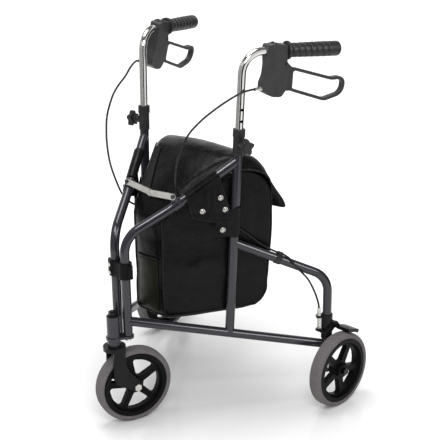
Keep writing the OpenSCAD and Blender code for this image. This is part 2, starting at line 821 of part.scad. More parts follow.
// Spring between the brake arm and the cable stop
spring_from = bar_z + bar_t + 0.2;
spring_to = stop_z - 0.2;
spring_low = spring_from + spring_wire * 1.5;
spring_pitch = (spring_to - spring_from - 3 * spring_wire) / spring_curls;
function coil_point(a) = [spring_d / 2 * cos(a), spring_d / 2 * sin(a), spring_low + spring_pitch * a / 360];
function coil_side(a) = [cos(a), sin(a), 0];
coil_angles = [for (i = [0:8 * spring_curls]) 45 * i];
coil_path = concat([[spring_d / 2, 0, spring_from]], [for (a = coil_angles) coil_point(a)],
    [[spring_d / 2, 0, spring_to]]);
coil_sides = concat([[1, 0, 0]], [for (a = coil_angles) coil_side(a)], [[1, 0, 0]]);
// Least distance between neighbouring curls, less the wire
coil_gap = min([for (i = [0:8 * (spring_curls - 1)]) for (k = [6:10])
    i + k > 8 * spring_curls ? 99 : norm(coil_point(45 * (i + k)) - coil_point(45 * i))]) - spring_wire;
echo(spring_gap_to_itself = coil_gap);

module brake_spring() {
    translate([pull_x, pull_y, 0]) bar_along(coil_path, coil_sides, spring_wire / 2, 6);
}

module left_brake_spring() {
    color([0.7, 0.7, 0.72]) at_left_leg() brake_spring();
}

module right_brake_spring() {
    color([0.7, 0.7, 0.72]) at_right_leg() brake_spring();
}

// Wheels, drawn round their own axis
hub_half = tyre_w / 2 + hub_proud;
seat_r = wheel_r - tyre_h;
barrel_r = seat_r - rim_depth;
lip_z = tyre_w / 2 - 3;

module tyre() {
    w = tyre_w / 2;
    s = lip_z - 0.3;
    rotate_extrude()
        polygon([[seat_r, -s], [seat_r + rim_lip + 0.5, -s], [seat_r + rim_lip + 1.5, -w + 1],
            [seat_r + rim_lip + 3, -w], [wheel_r - 6, -w], [wheel_r - 2.2, -w + 2.2], [wheel_r - 0.5, -w + 5],
            [wheel_r, -w + 9], [wheel_r, w - 9], [wheel_r - 0.5, w - 5], [wheel_r - 2.2, w - 2.2],
            [wheel_r - 6, w], [seat_r + rim_lip + 3, w], [seat_r + rim_lip + 1.5, w - 1],
            [seat_r + rim_lip + 0.5, s], [seat_r, s]]);
}

// Rim with its openings turned round the axle by an angle
module rim(turn) {
    l = seat_r + rim_lip;
    t = web_t / 2;
    s = seat_r - joint_gap / 2;
    half = 180 / spokes;
    far = barrel_r - 3;
    near = web_mid_d / 2 + 2;
    far_a = half - asin(spoke_w / 2 / far);
    near_w = max(3, near * sin(half) - spoke_w / 2);
    slot = [[near, -near_w], far * [cos(far_a), -sin(far_a)], [far, 0], far * [cos(far_a), sin(far_a)],
        [near, near_w]];
    difference() {
        rotate_extrude()
            polygon([[axle_d / 2 + run_fit, -hub_half], [hub_d / 2 - 2, -hub_half], [hub_d / 2, -hub_half + 2],
                [hub_d / 2, -t], [barrel_r, -t], [barrel_r + 2, -lip_z - 2.5], [l, -lip_z - 2.5], [l, -lip_z],
                [s, -lip_z], [s, lip_z], [l, lip_z], [l, lip_z + 2.5], [barrel_r + 2, lip_z + 2.5],
                [barrel_r, t], [hub_d / 2, t], [hub_d / 2, hub_half - 2], [hub_d / 2 - 2, hub_half],
                [axle_d / 2 + run_fit, hub_half]]);
        for (i = [0:spokes - 1]) rotate([0, 0, turn + (2 * i + 1) * half]) translate([0, 0, -t - 1])
            linear_extrude(web_t + 2) polygon(outline(slot, [4, 6, 60, 6, 4]));
    }
}

// Turns a wheel upright on its axle
module upright() {
    translate([0, 0, axle_z]) rotate([0, 90, 0]) children();
}

module left_rear_tyre() {
    color([0.32, 0.31, 0.31]) at_left_leg() translate([wheel_out, 0, 0]) upright() tyre();
}

module right_rear_tyre() {
    color([0.32, 0.31, 0.31]) at_right_leg() translate([wheel_out, 0, 0]) upright() tyre();
}

module left_rear_rim() {
    color([0.13, 0.13, 0.14]) at_left_leg() translate([wheel_out, 0, 0]) upright() rim(6);
}

module right_rear_rim() {
    color([0.13, 0.13, 0.14]) at_right_leg() translate([wheel_out, 0, 0]) upright() rim(30);
}

// Bolt through leg and hub with a spacer between them and a nut inside the leg
module rear_axle() {
    in_end = -tube_r - 12;
    out_end = wheel_out + hub_half + move_gap;
    upright() {
        translate([0, 0, in_end]) cylinder(d = axle_d, h = out_end - in_end + 3);
        translate([0, 0, out_end]) cylinder(d = 20, h = 1.5);
        translate([0, 0, out_end + 1.5]) hex(16, 5);
        translate([0, 0, -tube_r - 10]) hex(16, 9);
    }
    upright() difference() {
        cylinder(d = 17, h = wheel_out - hub_half - move_gap);
        translate([axle_z, 0, 0]) rotate([0, -90, 0]) cylinder(r = tube_r + joint_gap, h = 2 * axle_z);
    }
}

module left_rear_axle() {
    color([0.7, 0.7, 0.72]) at_left_leg() rear_axle();
}

module right_rear_axle() {
    color([0.7, 0.7, 0.72]) at_right_leg() rear_axle();
}

// Folding brace between the side frames: lugs on the slopes, and two links that meet in the middle
brace_x = hinge_x + brace_u * sin(open_angle);
brace_y = hinge_y + brace_u * cos(open_angle) - 4.5;
brace_z = slope_z_at(brace_u) + brace_rise;
link_len = norm([brace_x, brace_dip]);
link_tilt = atan2(brace_dip, brace_x);

// Plate behind the link, saddled on the tube, with the rivet the link turns on
module brace_lug(plate_y, link_y) {
    saddle_u = brace_u + 9;
    difference() {
        translate([brace_x, plate_y + link_t, 0]) rotate([90, 0, 0]) linear_extrude(link_t) {
            translate([0, brace_z]) circle(r = 9);
            translate([-10, brace_z - brace_rise - 4]) square([20, brace_rise + 4]);
        }
        on_left() run([[kink_u, kink_z], [slope_top_u, slope_top_z]], [0, 0], weld_d);
    }
    on_left() difference() {
        run([for (u = [saddle_u - 14, saddle_u + 6]) [u, slope_z_at(u)]], [0, 0], tube_d + 4);
        run([[kink_u, kink_z], [slope_top_u, slope_top_z]], [0, 0], weld_d);
        translate([saddle_u - 40, -8, brace_z - 80]) cube([80, 40, 120]);
    }
    on_left() translate([saddle_u, -tube_r - 1.5, slope_z_at(saddle_u)]) rotate([90, 0, 0])
        cylinder(d = 8, h = 2.5);
    translate([brace_x, plate_y, brace_z]) rotate([90, 0, 0])
        cylinder(d = rivet_d, h = plate_y - link_y + move_gap);
    translate([brace_x, link_y - move_gap, brace_z]) rotate([90, 0, 0]) cylinder(d = 10, h = 2);
}

module left_brace_lug() {
    color([0.7, 0.7, 0.72]) brace_lug(brace_y + move_gap / 2, brace_y - link_t - move_gap / 2);
}

module right_brace_lug() {
    color([0.7, 0.7, 0.72]) mirror([1, 0, 0])
        brace_lug(brace_y + link_t + move_gap * 1.5, brace_y + move_gap / 2);
}

// Flat link with rounded ends, a bore at its lug and a rivet head at the middle of the brace
module brace_link(link_y, head_y) {
    translate([brace_x, link_y + link_t, brace_z]) rotate([90, 0, 0]) rotate([0, 0, link_tilt])
        linear_extrude(link_t) difference() {
            union() {
                circle(d = link_w);
                translate([-link_len, 0]) circle(d = link_w);
                translate([-link_len, -link_w / 2]) square([link_len, link_w]);
            }
            circle(d = rivet_d + 2 * run_fit);
        }
    translate([0, head_y, brace_z - brace_dip]) rotate([90, 0, 0]) cylinder(d = 10, h = 2);
}

module left_brace_link() {
    color([0.72, 0.73, 0.75]) brace_link(brace_y - link_t - move_gap / 2, brace_y - link_t - move_gap / 2);
}

module right_brace_link() {
    color([0.72, 0.73, 0.75]) mirror([1, 0, 0])
        brace_link(brace_y + move_gap / 2, brace_y + link_t + move_gap / 2 + 2);
}

// Head sleeve with its plates to the right front tube and under the left one
module sleeve_and_plates() {
    gap = norm([hinge_x, head_reach]);
    lean = atan2(hinge_x, head_reach);
    plate_low = hinge_plate_z - hinge_plate_t;
    difference() {
        union() {
            translate([0, -head_reach, sleeve_z]) cylinder(d = sleeve_d, h = sleeve_len);
            translate([0, -head_reach, sleeve_z + 12]) rotate([0, 0, 90 + lean]) translate([0, -8, 0])
                cube([gap, 16, sleeve_len - 22]);
            translate([0, -head_reach, plate_low]) cylinder(d = sleeve_d + 6, h = hinge_plate_t);
            translate([hinge_x, 0, plate_low]) cylinder(r = tube_r + 3, h = hinge_plate_t);
            translate([0, -head_reach, plate_low]) rotate([0, 0, 90 - lean]) translate([0, -13, 0])
                cube([gap, 26, hinge_plate_t]);
        }
        translate([0, -head_reach, sleeve_z - 1]) cylinder(d = sleeve_d - 2 * sleeve_wall, h = sleeve_len + 2);
        translate([-hinge_x, 0, sleeve_z - 20]) cylinder(d = weld_d, h = 150);
        translate([hinge_x, 0, hinge_plate_z]) cylinder(r = tube_r + 4, h = 100);
        translate([hinge_x, 0, plate_low - 1]) cylinder(d = pivot_bolt_d + joint_gap, h = hinge_plate_t + 2);
    }
}

module head_sleeve() {
    color([0.23, 0.23, 0.27]) translate([0, hinge_y, 0]) sleeve_and_plates();
}

// Bushes in both ends of the sleeve
module bush() {
    difference() {
        union() {
            cylinder(d = sleeve_d - 2 * sleeve_wall - joint_gap, h = 16);
            translate([0, 0, -0.5]) cylinder(d = sleeve_d - 1, h = 0.5);
        }
        translate([0, 0, -1]) cylinder(d = stem_d + 2 * run_fit, h = 18);
    }
}

module head_bushes() {
    color([0.1, 0.1, 0.11]) translate([0, hinge_y - head_reach, 0]) {
        translate([0, 0, sleeve_z]) bush();
        translate([0, 0, sleeve_z + sleeve_len]) rotate([180, 0, 0]) bush();
    }
}

// Two-lobed clamp in which the left front tube turns
module hinge_clamp() {
    r = tube_r + clamp_wall;
    ear = hinge_x + tube_r + clamp_ear;
    color([0.06, 0.06, 0.07]) translate([0, hinge_y, clamp_z]) difference() {
        union() {
            for (x = [-hinge_x, hinge_x]) translate([x, 0, 0]) cylinder(r = r, h = clamp_h);
            translate([-hinge_x, -r + 3, 0]) cube([hinge_gap, 2 * r - 6, clamp_h]);
            for (s = [-1, 1]) translate([s * (ear - 6), 0, 3]) cylinder(d = 12, h = clamp_h - 6);
            translate([-ear + 6, -6, 3]) cube([2 * ear - 12, 12, clamp_h - 6]);
        }
        for (x = [-hinge_x, hinge_x]) translate([x, 0, -1]) cylinder(d = tube_d + 2 * run_fit, h = clamp_h + 2);
        for (z = [clamp_h * 0.24, clamp_h * 0.76]) translate([-hinge_x, -tube_r, z]) rotate([90, 0, 0])
            cylinder(d = 5, h = clamp_wall + 2);
    }
}

// Pivot bolt under the left front tube, and the screws that hold the clamp to the right one
module hinge_bolts() {
    low = hinge_plate_z - hinge_plate_t;
    color([0.72, 0.73, 0.75]) translate([0, hinge_y, 0]) {
        translate([hinge_x, 0, low - 7]) {
            hex(pivot_bolt_d * 1.6, 6.9);
            cylinder(d = pivot_bolt_d, h = left_end_z - low + 29);
            translate([0, 0, left_end_z - low + 7 + 15 + move_gap]) cylinder(d = pivot_bolt_d * 1.6, h = 6);
        }
        for (z = [clamp_h * 0.24, clamp_h * 0.76]) translate([-hinge_x, -tube_r - 0.5, clamp_z + z])
            rotate([90, 0, 0]) {
                cylinder(d = 4.8, h = clamp_wall);
                translate([0, 0, clamp_wall]) cylinder(d = 9, h = 3);
            }
    }
}

// Fork: a round crown and two broad legs swept back to the axle
crown_z = sleeve_z - 1 - crown_t;
fork_in = hub_half + 1.5;

module fork() {
    leg = [[-12, crown_z + crown_t], [-13, 168], [-14, 130], [-6, 110], [14, 102], [trail - 12, axle_z - 8],
        [trail, axle_z - 14], [trail + 13, axle_z - 2], [trail + 12, axle_z + 8], [24, 142], [18, 168],
        [17, crown_z + crown_t]];
    soft = [2, 40, 12, 14, 25, 6, 13, 11, 10, 60, 40, 2];
    color([0.06, 0.06, 0.065]) at_caster() difference() {
        union() {
            translate([0, 0, crown_z]) cylinder(d = crown_d, h = crown_t);
            for (x = [-fork_in - fork_t, fork_in]) translate([x, 0, 0]) rotate([90, 0, 90])
                linear_extrude(fork_t) polygon(outline(leg, soft));
        }
        translate([0, 0, crown_z - 1]) cylinder(d = stem_d + joint_gap, h = crown_t + 2);
        translate([-50, trail, axle_z]) rotate([0, 90, 0]) cylinder(d = axle_d + 2 * joint_gap, h = 100);
    }
}

// Stem through crown and bushes, with its head under the crown and a nut on top
module caster_stem() {
    top = sleeve_z + sleeve_len + 1;
    color([0.09, 0.09, 0.1]) at_caster() {
        translate([0, 0, crown_z - 3]) cylinder(d = 24, h = 3);
        translate([0, 0, crown_z - 3]) cylinder(d = stem_d, h = top + 12 - crown_z + 3);
        translate([0, 0, top]) cylinder(d = 24, h = 1.5);
        translate([0, 0, top + 1.5]) hex(19, 9);
    }
}

module front_axle() {
    e = fork_in + fork_t;
    color([0.72, 0.73, 0.75]) at_caster() translate([0, trail, 0]) upright() {
        translate([0, 0, -e - 8]) cylinder(d = axle_d, h = 2 * e + 11);
        translate([0, 0, e]) hex(16, 6);
        translate([0, 0, -e - 7]) hex(16, 7);
        for (s = [0, 1]) mirror([0, 0, s]) translate([0, 0, hub_half + 0.4]) cylinder(d = 18, h = 1.1);
    }
}

module front_tyre() {
    color([0.32, 0.31, 0.31]) at_caster() translate([0, trail, 0]) upright() tyre();
}

module front_rim() {
    color([0.13, 0.13, 0.14]) at_caster() translate([0, trail, 0]) upright() rim(45);
}

// Bag between the frames: its plan is the wedge between them, its sides follow the slopes
bag_rear = bag_front + bag_depth;
bag_lip = bag_front + bag_tuck;
bag_profile = [[bag_front, bag_floor_z], [bag_rear, bag_floor_z], [bag_rear, bag_rear_z],
    [bag_crest, bag_crest_z], [bag_lip, bag_lip_z], [bag_front, bag_front_z]];
bag_round = [25, 55, bag_rear_r, 60, 10, 20];

// Wedge between the frames, as a prism from the ground up, with its sides a distance inside the tubes
module wedge(y0, y1, inset) {
    off = hinge_x - inset / cos(open_angle);
    k = tan(open_angle);
    linear_extrude(900)
        polygon([[-off - k * y0, y0], [off + k * y0, y0], [off + k * y1, y1], [-off - k * y1, y1]]);
}

// Flat shape seen from the side, drawn out across the part
module profile_prism() {
    translate([-500, 0, 0]) rotate([90, 0, 90]) linear_extrude(1000) children();
}

// Panels of the bag, open at the top under the lid
module bag_body() {
    inside = [[bag_front + bag_wall, bag_floor_z + bag_wall], [bag_rear - bag_wall, bag_floor_z + bag_wall],
        [bag_rear - bag_wall, 800], [bag_lip + bag_wall, 800], [bag_lip + bag_wall, bag_lip_z],
        [bag_front + bag_wall, bag_front_z]];
    color([0.05, 0.05, 0.055]) translate([0, hinge_y, 0]) difference() {
        intersection() {
            wedge(bag_front - 1, bag_rear + 1, bag_inset);
            profile_prism() polygon(outline(bag_profile, bag_round));
        }
        intersection() {
            wedge(bag_front + bag_wall - 1, bag_rear - bag_wall + 1, bag_inset + bag_wall);
            profile_prism() polygon(outline(inside, [23, 53, 2, 2, 8, 18]));
        }
    }
}

// Lid over the top of the bag, and its rear flap that stands off the rear panel
module bag_lid() {
    skin = 0.4;
    turn_z = bag_rear_z - bag_rear_r;
    rear = bag_rear + skin;
    color([0.055, 0.055, 0.06]) translate([0, hinge_y, 0]) intersection() {
        wedge(bag_lip - 6, bag_rear + lid_swing + 10, bag_inset);
        profile_prism() {
            intersection() {
                difference() {
                    polygon(outline(bag_profile, bag_round, skin + lid_t));
                    polygon(outline(bag_profile, bag_round, skin));
                }
                polygon([[bag_lip - 5, bag_lip_z + 1], [bag_lip + 60, turn_z - 4], [bag_rear + 40, turn_z - 4],
                    [bag_rear + 40, bag_crest_z + 40], [bag_lip - 5, bag_crest_z + 40]]);
            }
            polygon([[rear, turn_z], [rear, turn_z - 5], [bag_rear + lid_swing - 4, lid_low_z],
                [bag_rear + lid_swing + 4, lid_low_z - 1], [rear + lid_t, turn_z - 4], [rear + lid_t, turn_z]]);
        }
    }
}

// Lifting strap from beside the middle of the brace up the front of the lid, slanting to the right
module bag_strap() {
    k = (bag_crest_z - bag_lip_z) / (bag_crest - bag_lip);
    under = (lid_t + 0.7) * norm([1, k]);
    y = [bag_lip - 8.5, bag_lip - 6.2, bag_lip + 106];
    slant = 0.67;
    function lid_at(q) = bag_lip_z + under + k * (q - bag_lip);
    color([0.06, 0.06, 0.065]) translate([-29, hinge_y, 0])
        multmatrix([[1, -slant, 0, slant * y[0]], [0, 1, 0, 0], [0, 0, 1, 0]])
        rotate([90, 0, 90]) linear_extrude(22)
        polygon([[y[0], bag_lip_z - 2], [y[1], bag_lip_z - 2], [y[1], lid_at(y[1])], [y[2], lid_at(y[2])],
            [y[2], lid_at(y[2]) + 2.5], [y[0], lid_at(y[0]) + 2.5]]);
}

// Side flap: a sleeve on the slope, a panel outside and a band round the post
module bag_flap() {
    slope_a = atan(slope_rate);
    in_r = tube_r + 0.3;
    out_r = in_r + flap_t;
    from = [148, slope_z_at(148)];
    difference() {
        union() {
            run([from, [214, slope_z_at(214)]], [0, 0], 2 * out_r);
            translate([0, -in_r, 0]) rotate([90, 0, 0]) linear_extrude(flap_t)
                polygon([[148, slope_z_at(148) - 2], [159, 515], [213, 499], [213, 464], [258, 462],
                    [261, 534], [236, 546], [214, slope_z_at(214)]]);
            on_post() translate([0, 0, 254]) cylinder(r = out_r - 0.6, h = 74);
        }
        run([[kink_u, kink_z], [slope_top_u, slope_top_z]], [0, 0], 2 * in_r);
        on_post() translate([0, 0, 200]) cylinder(r = in_r, h = 250);
    }
}

module left_bag_flap() {
    color([0.06, 0.06, 0.065]) on_left() bag_flap();
}

module right_bag_flap() {
    color([0.06, 0.06, 0.065]) on_right() bag_flap();
}

left_main_tube();
right_main_tube();
left_post();
right_post();
left_bottom_tube();
right_bottom_tube();
left_rear_leg();
right_rear_leg();
left_post_collar();
right_post_collar();
left_knob();
right_knob();
left_handle_tube();
right_handle_tube();
left_grip();
right_grip();
left_brake_housing();
right_brake_housing();
left_housing_screws();
right_housing_screws();
left_brake_lever();
right_brake_lever();
left_cable_adjuster();
right_cable_adjuster();
left_brake_cable();
right_brake_cable();
left_cable_clip();
right_cable_clip();
left_brake_bracket();
right_brake_bracket();
left_brake_adjuster();
right_brake_adjuster();
left_brake_arm();
right_brake_arm();
left_brake_spring();
right_brake_spring();
left_rear_axle();
right_rear_axle();
left_rear_tyre();
right_rear_tyre();
left_rear_rim();
right_rear_rim();
left_brace_lug();
right_brace_lug();
left_brace_link();
right_brace_link();
left_bag_flap();
right_bag_flap();
head_sleeve();
head_bushes();
hinge_clamp();
hinge_bolts();
fork();
caster_stem();
front_axle();
front_tyre();
front_rim();
bag_body();
bag_lid();
bag_strap();
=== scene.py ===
# %% [markdown]
# # Dressing a three wheel rollator
# The walker's tubes, wheels, brakes and hinges come ready made from the part's own solids. This lesson
# gives them their finishes and sews the soft goods: the bag with its lid, strap, flaps and press studs. The
# hand grips, brake cables and springs are modelled again, because the solids only hold their plain shape.

# %% Load the frame
import math

import bpy
from mathutils import Matrix, Vector, noise


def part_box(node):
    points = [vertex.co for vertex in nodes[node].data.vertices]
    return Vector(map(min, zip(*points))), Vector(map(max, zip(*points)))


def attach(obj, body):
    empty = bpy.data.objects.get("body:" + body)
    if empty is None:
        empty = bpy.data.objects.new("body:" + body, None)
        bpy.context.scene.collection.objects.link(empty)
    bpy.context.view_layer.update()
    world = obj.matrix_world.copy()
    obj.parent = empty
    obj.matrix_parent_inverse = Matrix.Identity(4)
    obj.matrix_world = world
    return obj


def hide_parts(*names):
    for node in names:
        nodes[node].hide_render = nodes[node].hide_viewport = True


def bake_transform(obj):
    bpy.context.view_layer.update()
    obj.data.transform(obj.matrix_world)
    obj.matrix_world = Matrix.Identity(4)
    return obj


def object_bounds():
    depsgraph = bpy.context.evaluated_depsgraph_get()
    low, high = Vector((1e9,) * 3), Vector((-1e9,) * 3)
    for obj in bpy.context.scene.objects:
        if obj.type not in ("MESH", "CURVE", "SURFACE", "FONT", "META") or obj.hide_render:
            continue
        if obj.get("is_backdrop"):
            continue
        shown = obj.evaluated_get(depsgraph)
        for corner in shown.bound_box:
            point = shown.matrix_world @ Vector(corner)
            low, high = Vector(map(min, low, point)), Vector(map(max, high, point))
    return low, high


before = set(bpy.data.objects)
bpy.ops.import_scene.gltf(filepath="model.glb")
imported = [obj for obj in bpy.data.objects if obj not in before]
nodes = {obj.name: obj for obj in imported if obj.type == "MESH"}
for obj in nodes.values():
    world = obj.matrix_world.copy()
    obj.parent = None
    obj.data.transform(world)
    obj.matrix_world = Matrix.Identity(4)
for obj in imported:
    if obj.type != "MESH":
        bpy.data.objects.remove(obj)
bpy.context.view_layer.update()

scene = bpy.context.scene
scene.view_settings.view_transform = "Standard"

# %% [markdown]
# The picture was taken from the front left, a little above the handles. A camera fitted to the wheels and
# tubes gives the place, the turns and the lens. The turns make one matrix, whose columns are the camera's
# right, up and back directions.

# %% Camera
YAW, PITCH, ROLL = math.radians(44.407), math.radians(19.773), math.radians(-0.742)
CAMERA_PLACE = Vector((1.8626, -1.7122, 1.3666))
SENSOR_MM, LENS_MM = 36, 90.0

bpy.ops.object.camera_add()
camera = bpy.context.object
camera.name = "photo_camera"
back = Vector((math.cos(YAW) * math.cos(PITCH), -math.sin(YAW) * math.cos(PITCH), math.sin(PITCH)))
right = Vector((math.sin(YAW), math.cos(YAW), 0))
up = back.cross(right)
level_right = right * math.cos(ROLL) + up * math.sin(ROLL)
level_up = up * math.cos(ROLL) - right * math.sin(ROLL)
turn = Matrix((level_right, level_up, back)).transposed().to_4x4()
camera.matrix_world = Matrix.Translation(CAMERA_PLACE) @ turn
camera.data.sensor_width = SENSOR_MM
camera.data.lens = LENS_MM
scene.camera = camera
print("camera at", [round(v, 2) for v in camera.location])

# %% [markdown]
# Each side frame has its own directions: along the frame from the front tube, inwards, and up. Working in
# those keeps the numbers of the two sides alike. The right side is the left one mirrored, and its handle is
# set a little higher and turned a little more, as in the picture.

# %% Places on the side frames
MM = 0.001
HINGE_X, HINGE_Y = 0.018, -0.215112
OPEN = math.radians(32.5)
POST = Vector((0.246, 0, 0.208))
POST_LEAN = math.radians(3.1)
SIDES = ("left", "right")
TOE = {"left": math.radians(16), "right": math.radians(18)}
LIFT = {"left": 0.0, "right": 0.008}
BAR_UP, BAR_TILT = 0.684, math.radians(91)
SLOPE, SLOPE_START, SLOPE_FOOT = 0.65274, 0.104, 0.533


def side_frame(side):
    """Place of a side frame: X along it from the front tube, Y inwards, Z up."""
    m = Matrix.Translation((HINGE_X, HINGE_Y, 0)) @ Matrix.Rotation(math.pi / 2 - OPEN, 4, "Z")
    return m if side == "left" else Matrix.Diagonal((-1, 1, 1, 1)) @ m


def handle_bar(side):
    """Place of a handle bar, with Z along it."""
    m = side_frame(side) @ Matrix.Translation(POST) @ Matrix.Rotation(POST_LEAN, 4, "Y")
    m = m @ Matrix.Rotation(OPEN - TOE[side], 4, "Z") @ Matrix.Translation((0, 0, BAR_UP + LIFT[side]))
    return m @ Matrix.Rotation(BAR_TILT, 4, "Y")


def slope_height(u):
    """Height of the sloping tube's middle at a place along the frame."""
    return SLOPE_FOOT + SLOPE * (u - SLOPE_START)


# %% [markdown]
# The brake cables are sheathed wires. They hang forward from the levers in a loop, come back under the
# bag's side and run down the rear leg to the brake. A smooth curve through the points of the part's own
# cable, with a round section, makes each one, and it becomes a mesh.

# %% Brake cables
CABLE_D, CABLE_STEPS = 0.005, 6
CABLE_FRONT = {
    "left": [(313.2, -1.7, 805.3), (308.8, -4, 805.5), (298, -9.6, 806), (273, -15, 801), (238, -16, 783),
        (208, -14.5, 763), (183, -12, 743), (158, -7, 716), (146, -3.5, 694), (136, 0.5, 668),
        (129, 5, 643), (126, 10, 614), (126, 14, 588), (131, 15, 567), (143, 15.5, 551), (165, 15.8, 540),
        (192, 15.8, 527), (226, 15.8, 505)],
    "right": [(318.1, -19.6, 817.1), (313.6, -21.7, 817.6), (303, -26.8, 818), (289, -36, 806),
        (275, -46, 786), (257, -60, 765), (238, -69, 743), (205, -73, 705), (178, -68, 669),
        (160, -61, 636), (146, -51, 600), (133, -33, 560), (127, -17.5, 531), (128, -2, 514), (136, 9, 504),
        (153, 15, 500), (190, 15.8, 498), (226, 15.8, 491)]}
CABLE_REAR = [(260, 15.8, 481), (292, 12.5, 456), (320, 7, 432), (342, 2, 418), (357, 0, 410),
    (366, 0, 405.5), (379, 0, 399.4), (393.5, -8.5, 389.5), (406, -14.5, 371), (424, -12, 351),
    (438, -7, 334), (450, -3.5, 313), (461, -1.5, 288), (468.5, -0.4, 265), (471, 0, 250.6)]


def through(points, steps):
    """Points of a smooth curve that passes through all the given ones."""
    made = []
    last = len(points) - 1
    for i in range(last):
        a, b = points[max(i - 1, 0)], points[i]
        c, d = points[i + 1], points[min(i + 2, last)]
        slope, bend, twist = (c - a) / 2, (2 * a - 5 * b + 4 * c - d) / 2, 3 * b - a - 3 * c + d
        for k in range(steps):
            t = k / steps
            made.append(b + t * (slope + t * (bend + t * twist / 2)))
    return made + [points[last]]


def pick(piece):
    """Select one piece alone and make it the active one."""
    bpy.ops.object.select_all(action="DESELECT")
    piece.select_set(True)
    bpy.context.view_layer.objects.active = piece


def swept(name, runs, radius, resolution, closed=False):
    """Round bars along runs of points, as one mesh."""
    line = bpy.data.curves.new(name, "CURVE")
    line.dimensions = "3D"
    line.bevel_depth = radius
    line.bevel_resolution = resolution
    line.use_fill_caps = not closed
    for run in runs:
        spline = line.splines.new("POLY")
        spline.points.add(len(run) - 1)
        for p, q in zip(spline.points, run):
            p.co = (*q, 1)
        spline.use_cyclic_u = closed
    made = bpy.data.objects.new(name, line)
    scene.collection.objects.link(made)
    pick(made)
    bpy.ops.object.convert(target="MESH")
    bpy.ops.object.shade_smooth()
    return bpy.context.object


def tube_along(name, points, radius, sides=12, closed=False):
    return swept(name, [points], radius, max(1, sides // 4 - 1), closed)


cables = {}
for side in SIDES:
    place = side_frame(side)
    points = [place @ (Vector(p) * MM) for p in CABLE_FRONT[side] + CABLE_REAR]
    route = through(points, CABLE_STEPS)
    cable = tube_along(side + "_cable", route, CABLE_D / 2)
    long = sum((b - a).length for a, b in zip(route, route[1:]))
    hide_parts(side + "_brake_cable")
    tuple(route[0])
    low = place @ Vector((0.16, 0, 0.60))
    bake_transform(cable)
    cables[side] = cable
    print(side, "cable", round(long, 3), "m")

# %% [markdown]
# A small coil spring stands on each brake arm under its bracket and pushes the shoe off the tyre. Pulling
# the cable squeezes it. The coil is one wire along a helix, and its end turns lie flat, as on a ground
# spring.

# %% Brake springs
SPRING_R, SPRING_WIRE, SPRING_CURLS, CURL_STEPS = 0.0045, 0.0014, 6, 20
END_RISE = 1.06 * SPRING_WIRE
TURNS = SPRING_CURLS + 2
springs = {}
for side in SIDES:
    low, high = (Vector(v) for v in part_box(side + "_brake_spring"))
    middle = (low + high) / 2
    pitch = (high.z - low.z - SPRING_WIRE - 2 * END_RISE) / SPRING_CURLS
    helix = []
    for k in range(TURNS * CURL_STEPS + 1):
        done = k / CURL_STEPS
        spun = 2 * math.pi * done
        rise = END_RISE * (min(done, 1) + max(0, done - TURNS + 1))
        rise += pitch * min(max(done - 1, 0), SPRING_CURLS)
        helix.append(Vector((middle.x + SPRING_R * math.cos(spun), middle.y + SPRING_R * math.sin(spun),
                             low.z + SPRING_WIRE / 2 + rise)))
    spring = tube_along(side + "_return_spring", helix, SPRING_WIRE / 2, sides=8)
    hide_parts(side + "_brake_spring")
    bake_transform(spring)
    springs[side] = spring
print("spring height:", round(high.z - low.z, 4), "pitch:", round(pitch, 5))

# %% [markdown]
# The hand grips are moulded sleeves with a flange at the front and rings for the fingers. A grip is the
# same all round, so half of its outline is drawn as a chain of points and spun about the handle bar. Rings
# in the outline stay crisp, where a bump in the finish would leave a smooth edge.

# %% Hand grips
def turned(name, outline, place, steps=56):
    """Spin an outline of (radius, height) points about its own axis and set it in place."""
    bpy.ops.mesh.primitive_plane_add(size=0.01)
    piece = bpy.context.object
    piece.name = name
    bpy.ops.object.mode_set(mode="EDIT")
    bpy.ops.mesh.select_all(action="SELECT")
    bpy.ops.mesh.merge(type="CENTER")
    bpy.ops.transform.translate(value=(outline[0][0], 0, outline[0][1]))
    for (r0, z0), (r1, z1) in zip(outline, outline[1:]):
        bpy.ops.mesh.extrude_vertices_move(TRANSFORM_OT_translate={"value": (r1 - r0, 0, z1 - z0)})
    bpy.ops.mesh.select_all(action="SELECT")
    bpy.ops.mesh.spin(steps=steps, angle=2 * math.pi, center=(0, 0, 0), axis=(0, 0, 1))
    bpy.ops.mesh.select_all(action="SELECT")
    bpy.ops.mesh.remove_doubles(threshold=1e-5)
    bpy.ops.mesh.normals_make_consistent(inside=False)
    bpy.ops.object.mode_set(mode="OBJECT")
    piece.data.transform(place)
    if place.determinant() < 0:
        piece.data.flip_normals()
    bpy.ops.object.shade_smooth_by_angle(angle=math.radians(35))
    return piece


GRIP_START, GRIP_END, GRIP_RINGS = 126.0, 222.0, 6
GRIP_R, GRIP_GROWTH, RING_SWELL = 16.25, 1.25, 0.4
GROOVE = ((0, -1.8), (-0.3, -1.2), (-0.75, -0.6), (-0.75, 0.6), (-0.3, 1.2), (0, 1.8))
outline = [(9.75, 111.5), (19.0, 111.5), (20.8, 112.2), (21.5, 113.6), (21.5, 117.4), (20.8, 118.9),
    (18.6, 120.2), (16.9, 121.4), (16.3, 123.0)]
pitch = (GRIP_END - GRIP_START) / GRIP_RINGS
for k in range(GRIP_RINGS + 1):
    z = GRIP_START + k * pitch
    r = GRIP_R + GRIP_GROWTH * k / GRIP_RINGS
    outline += [(r + dr, z + dz) for dr, dz in GROOVE]
    if k < GRIP_RINGS:
        outline.append((r + RING_SWELL, z + pitch / 2))
outline += [(17.5, 226.5), (17.5, 249.6), (17.2, 251.9), (16.4, 253.6), (15.2, 254.8), (13.6, 255.5),
    (12.0, 255.7), (11.4, 255.1), (11.0, 254.7), (6, 254.9), (0, 255.0)]

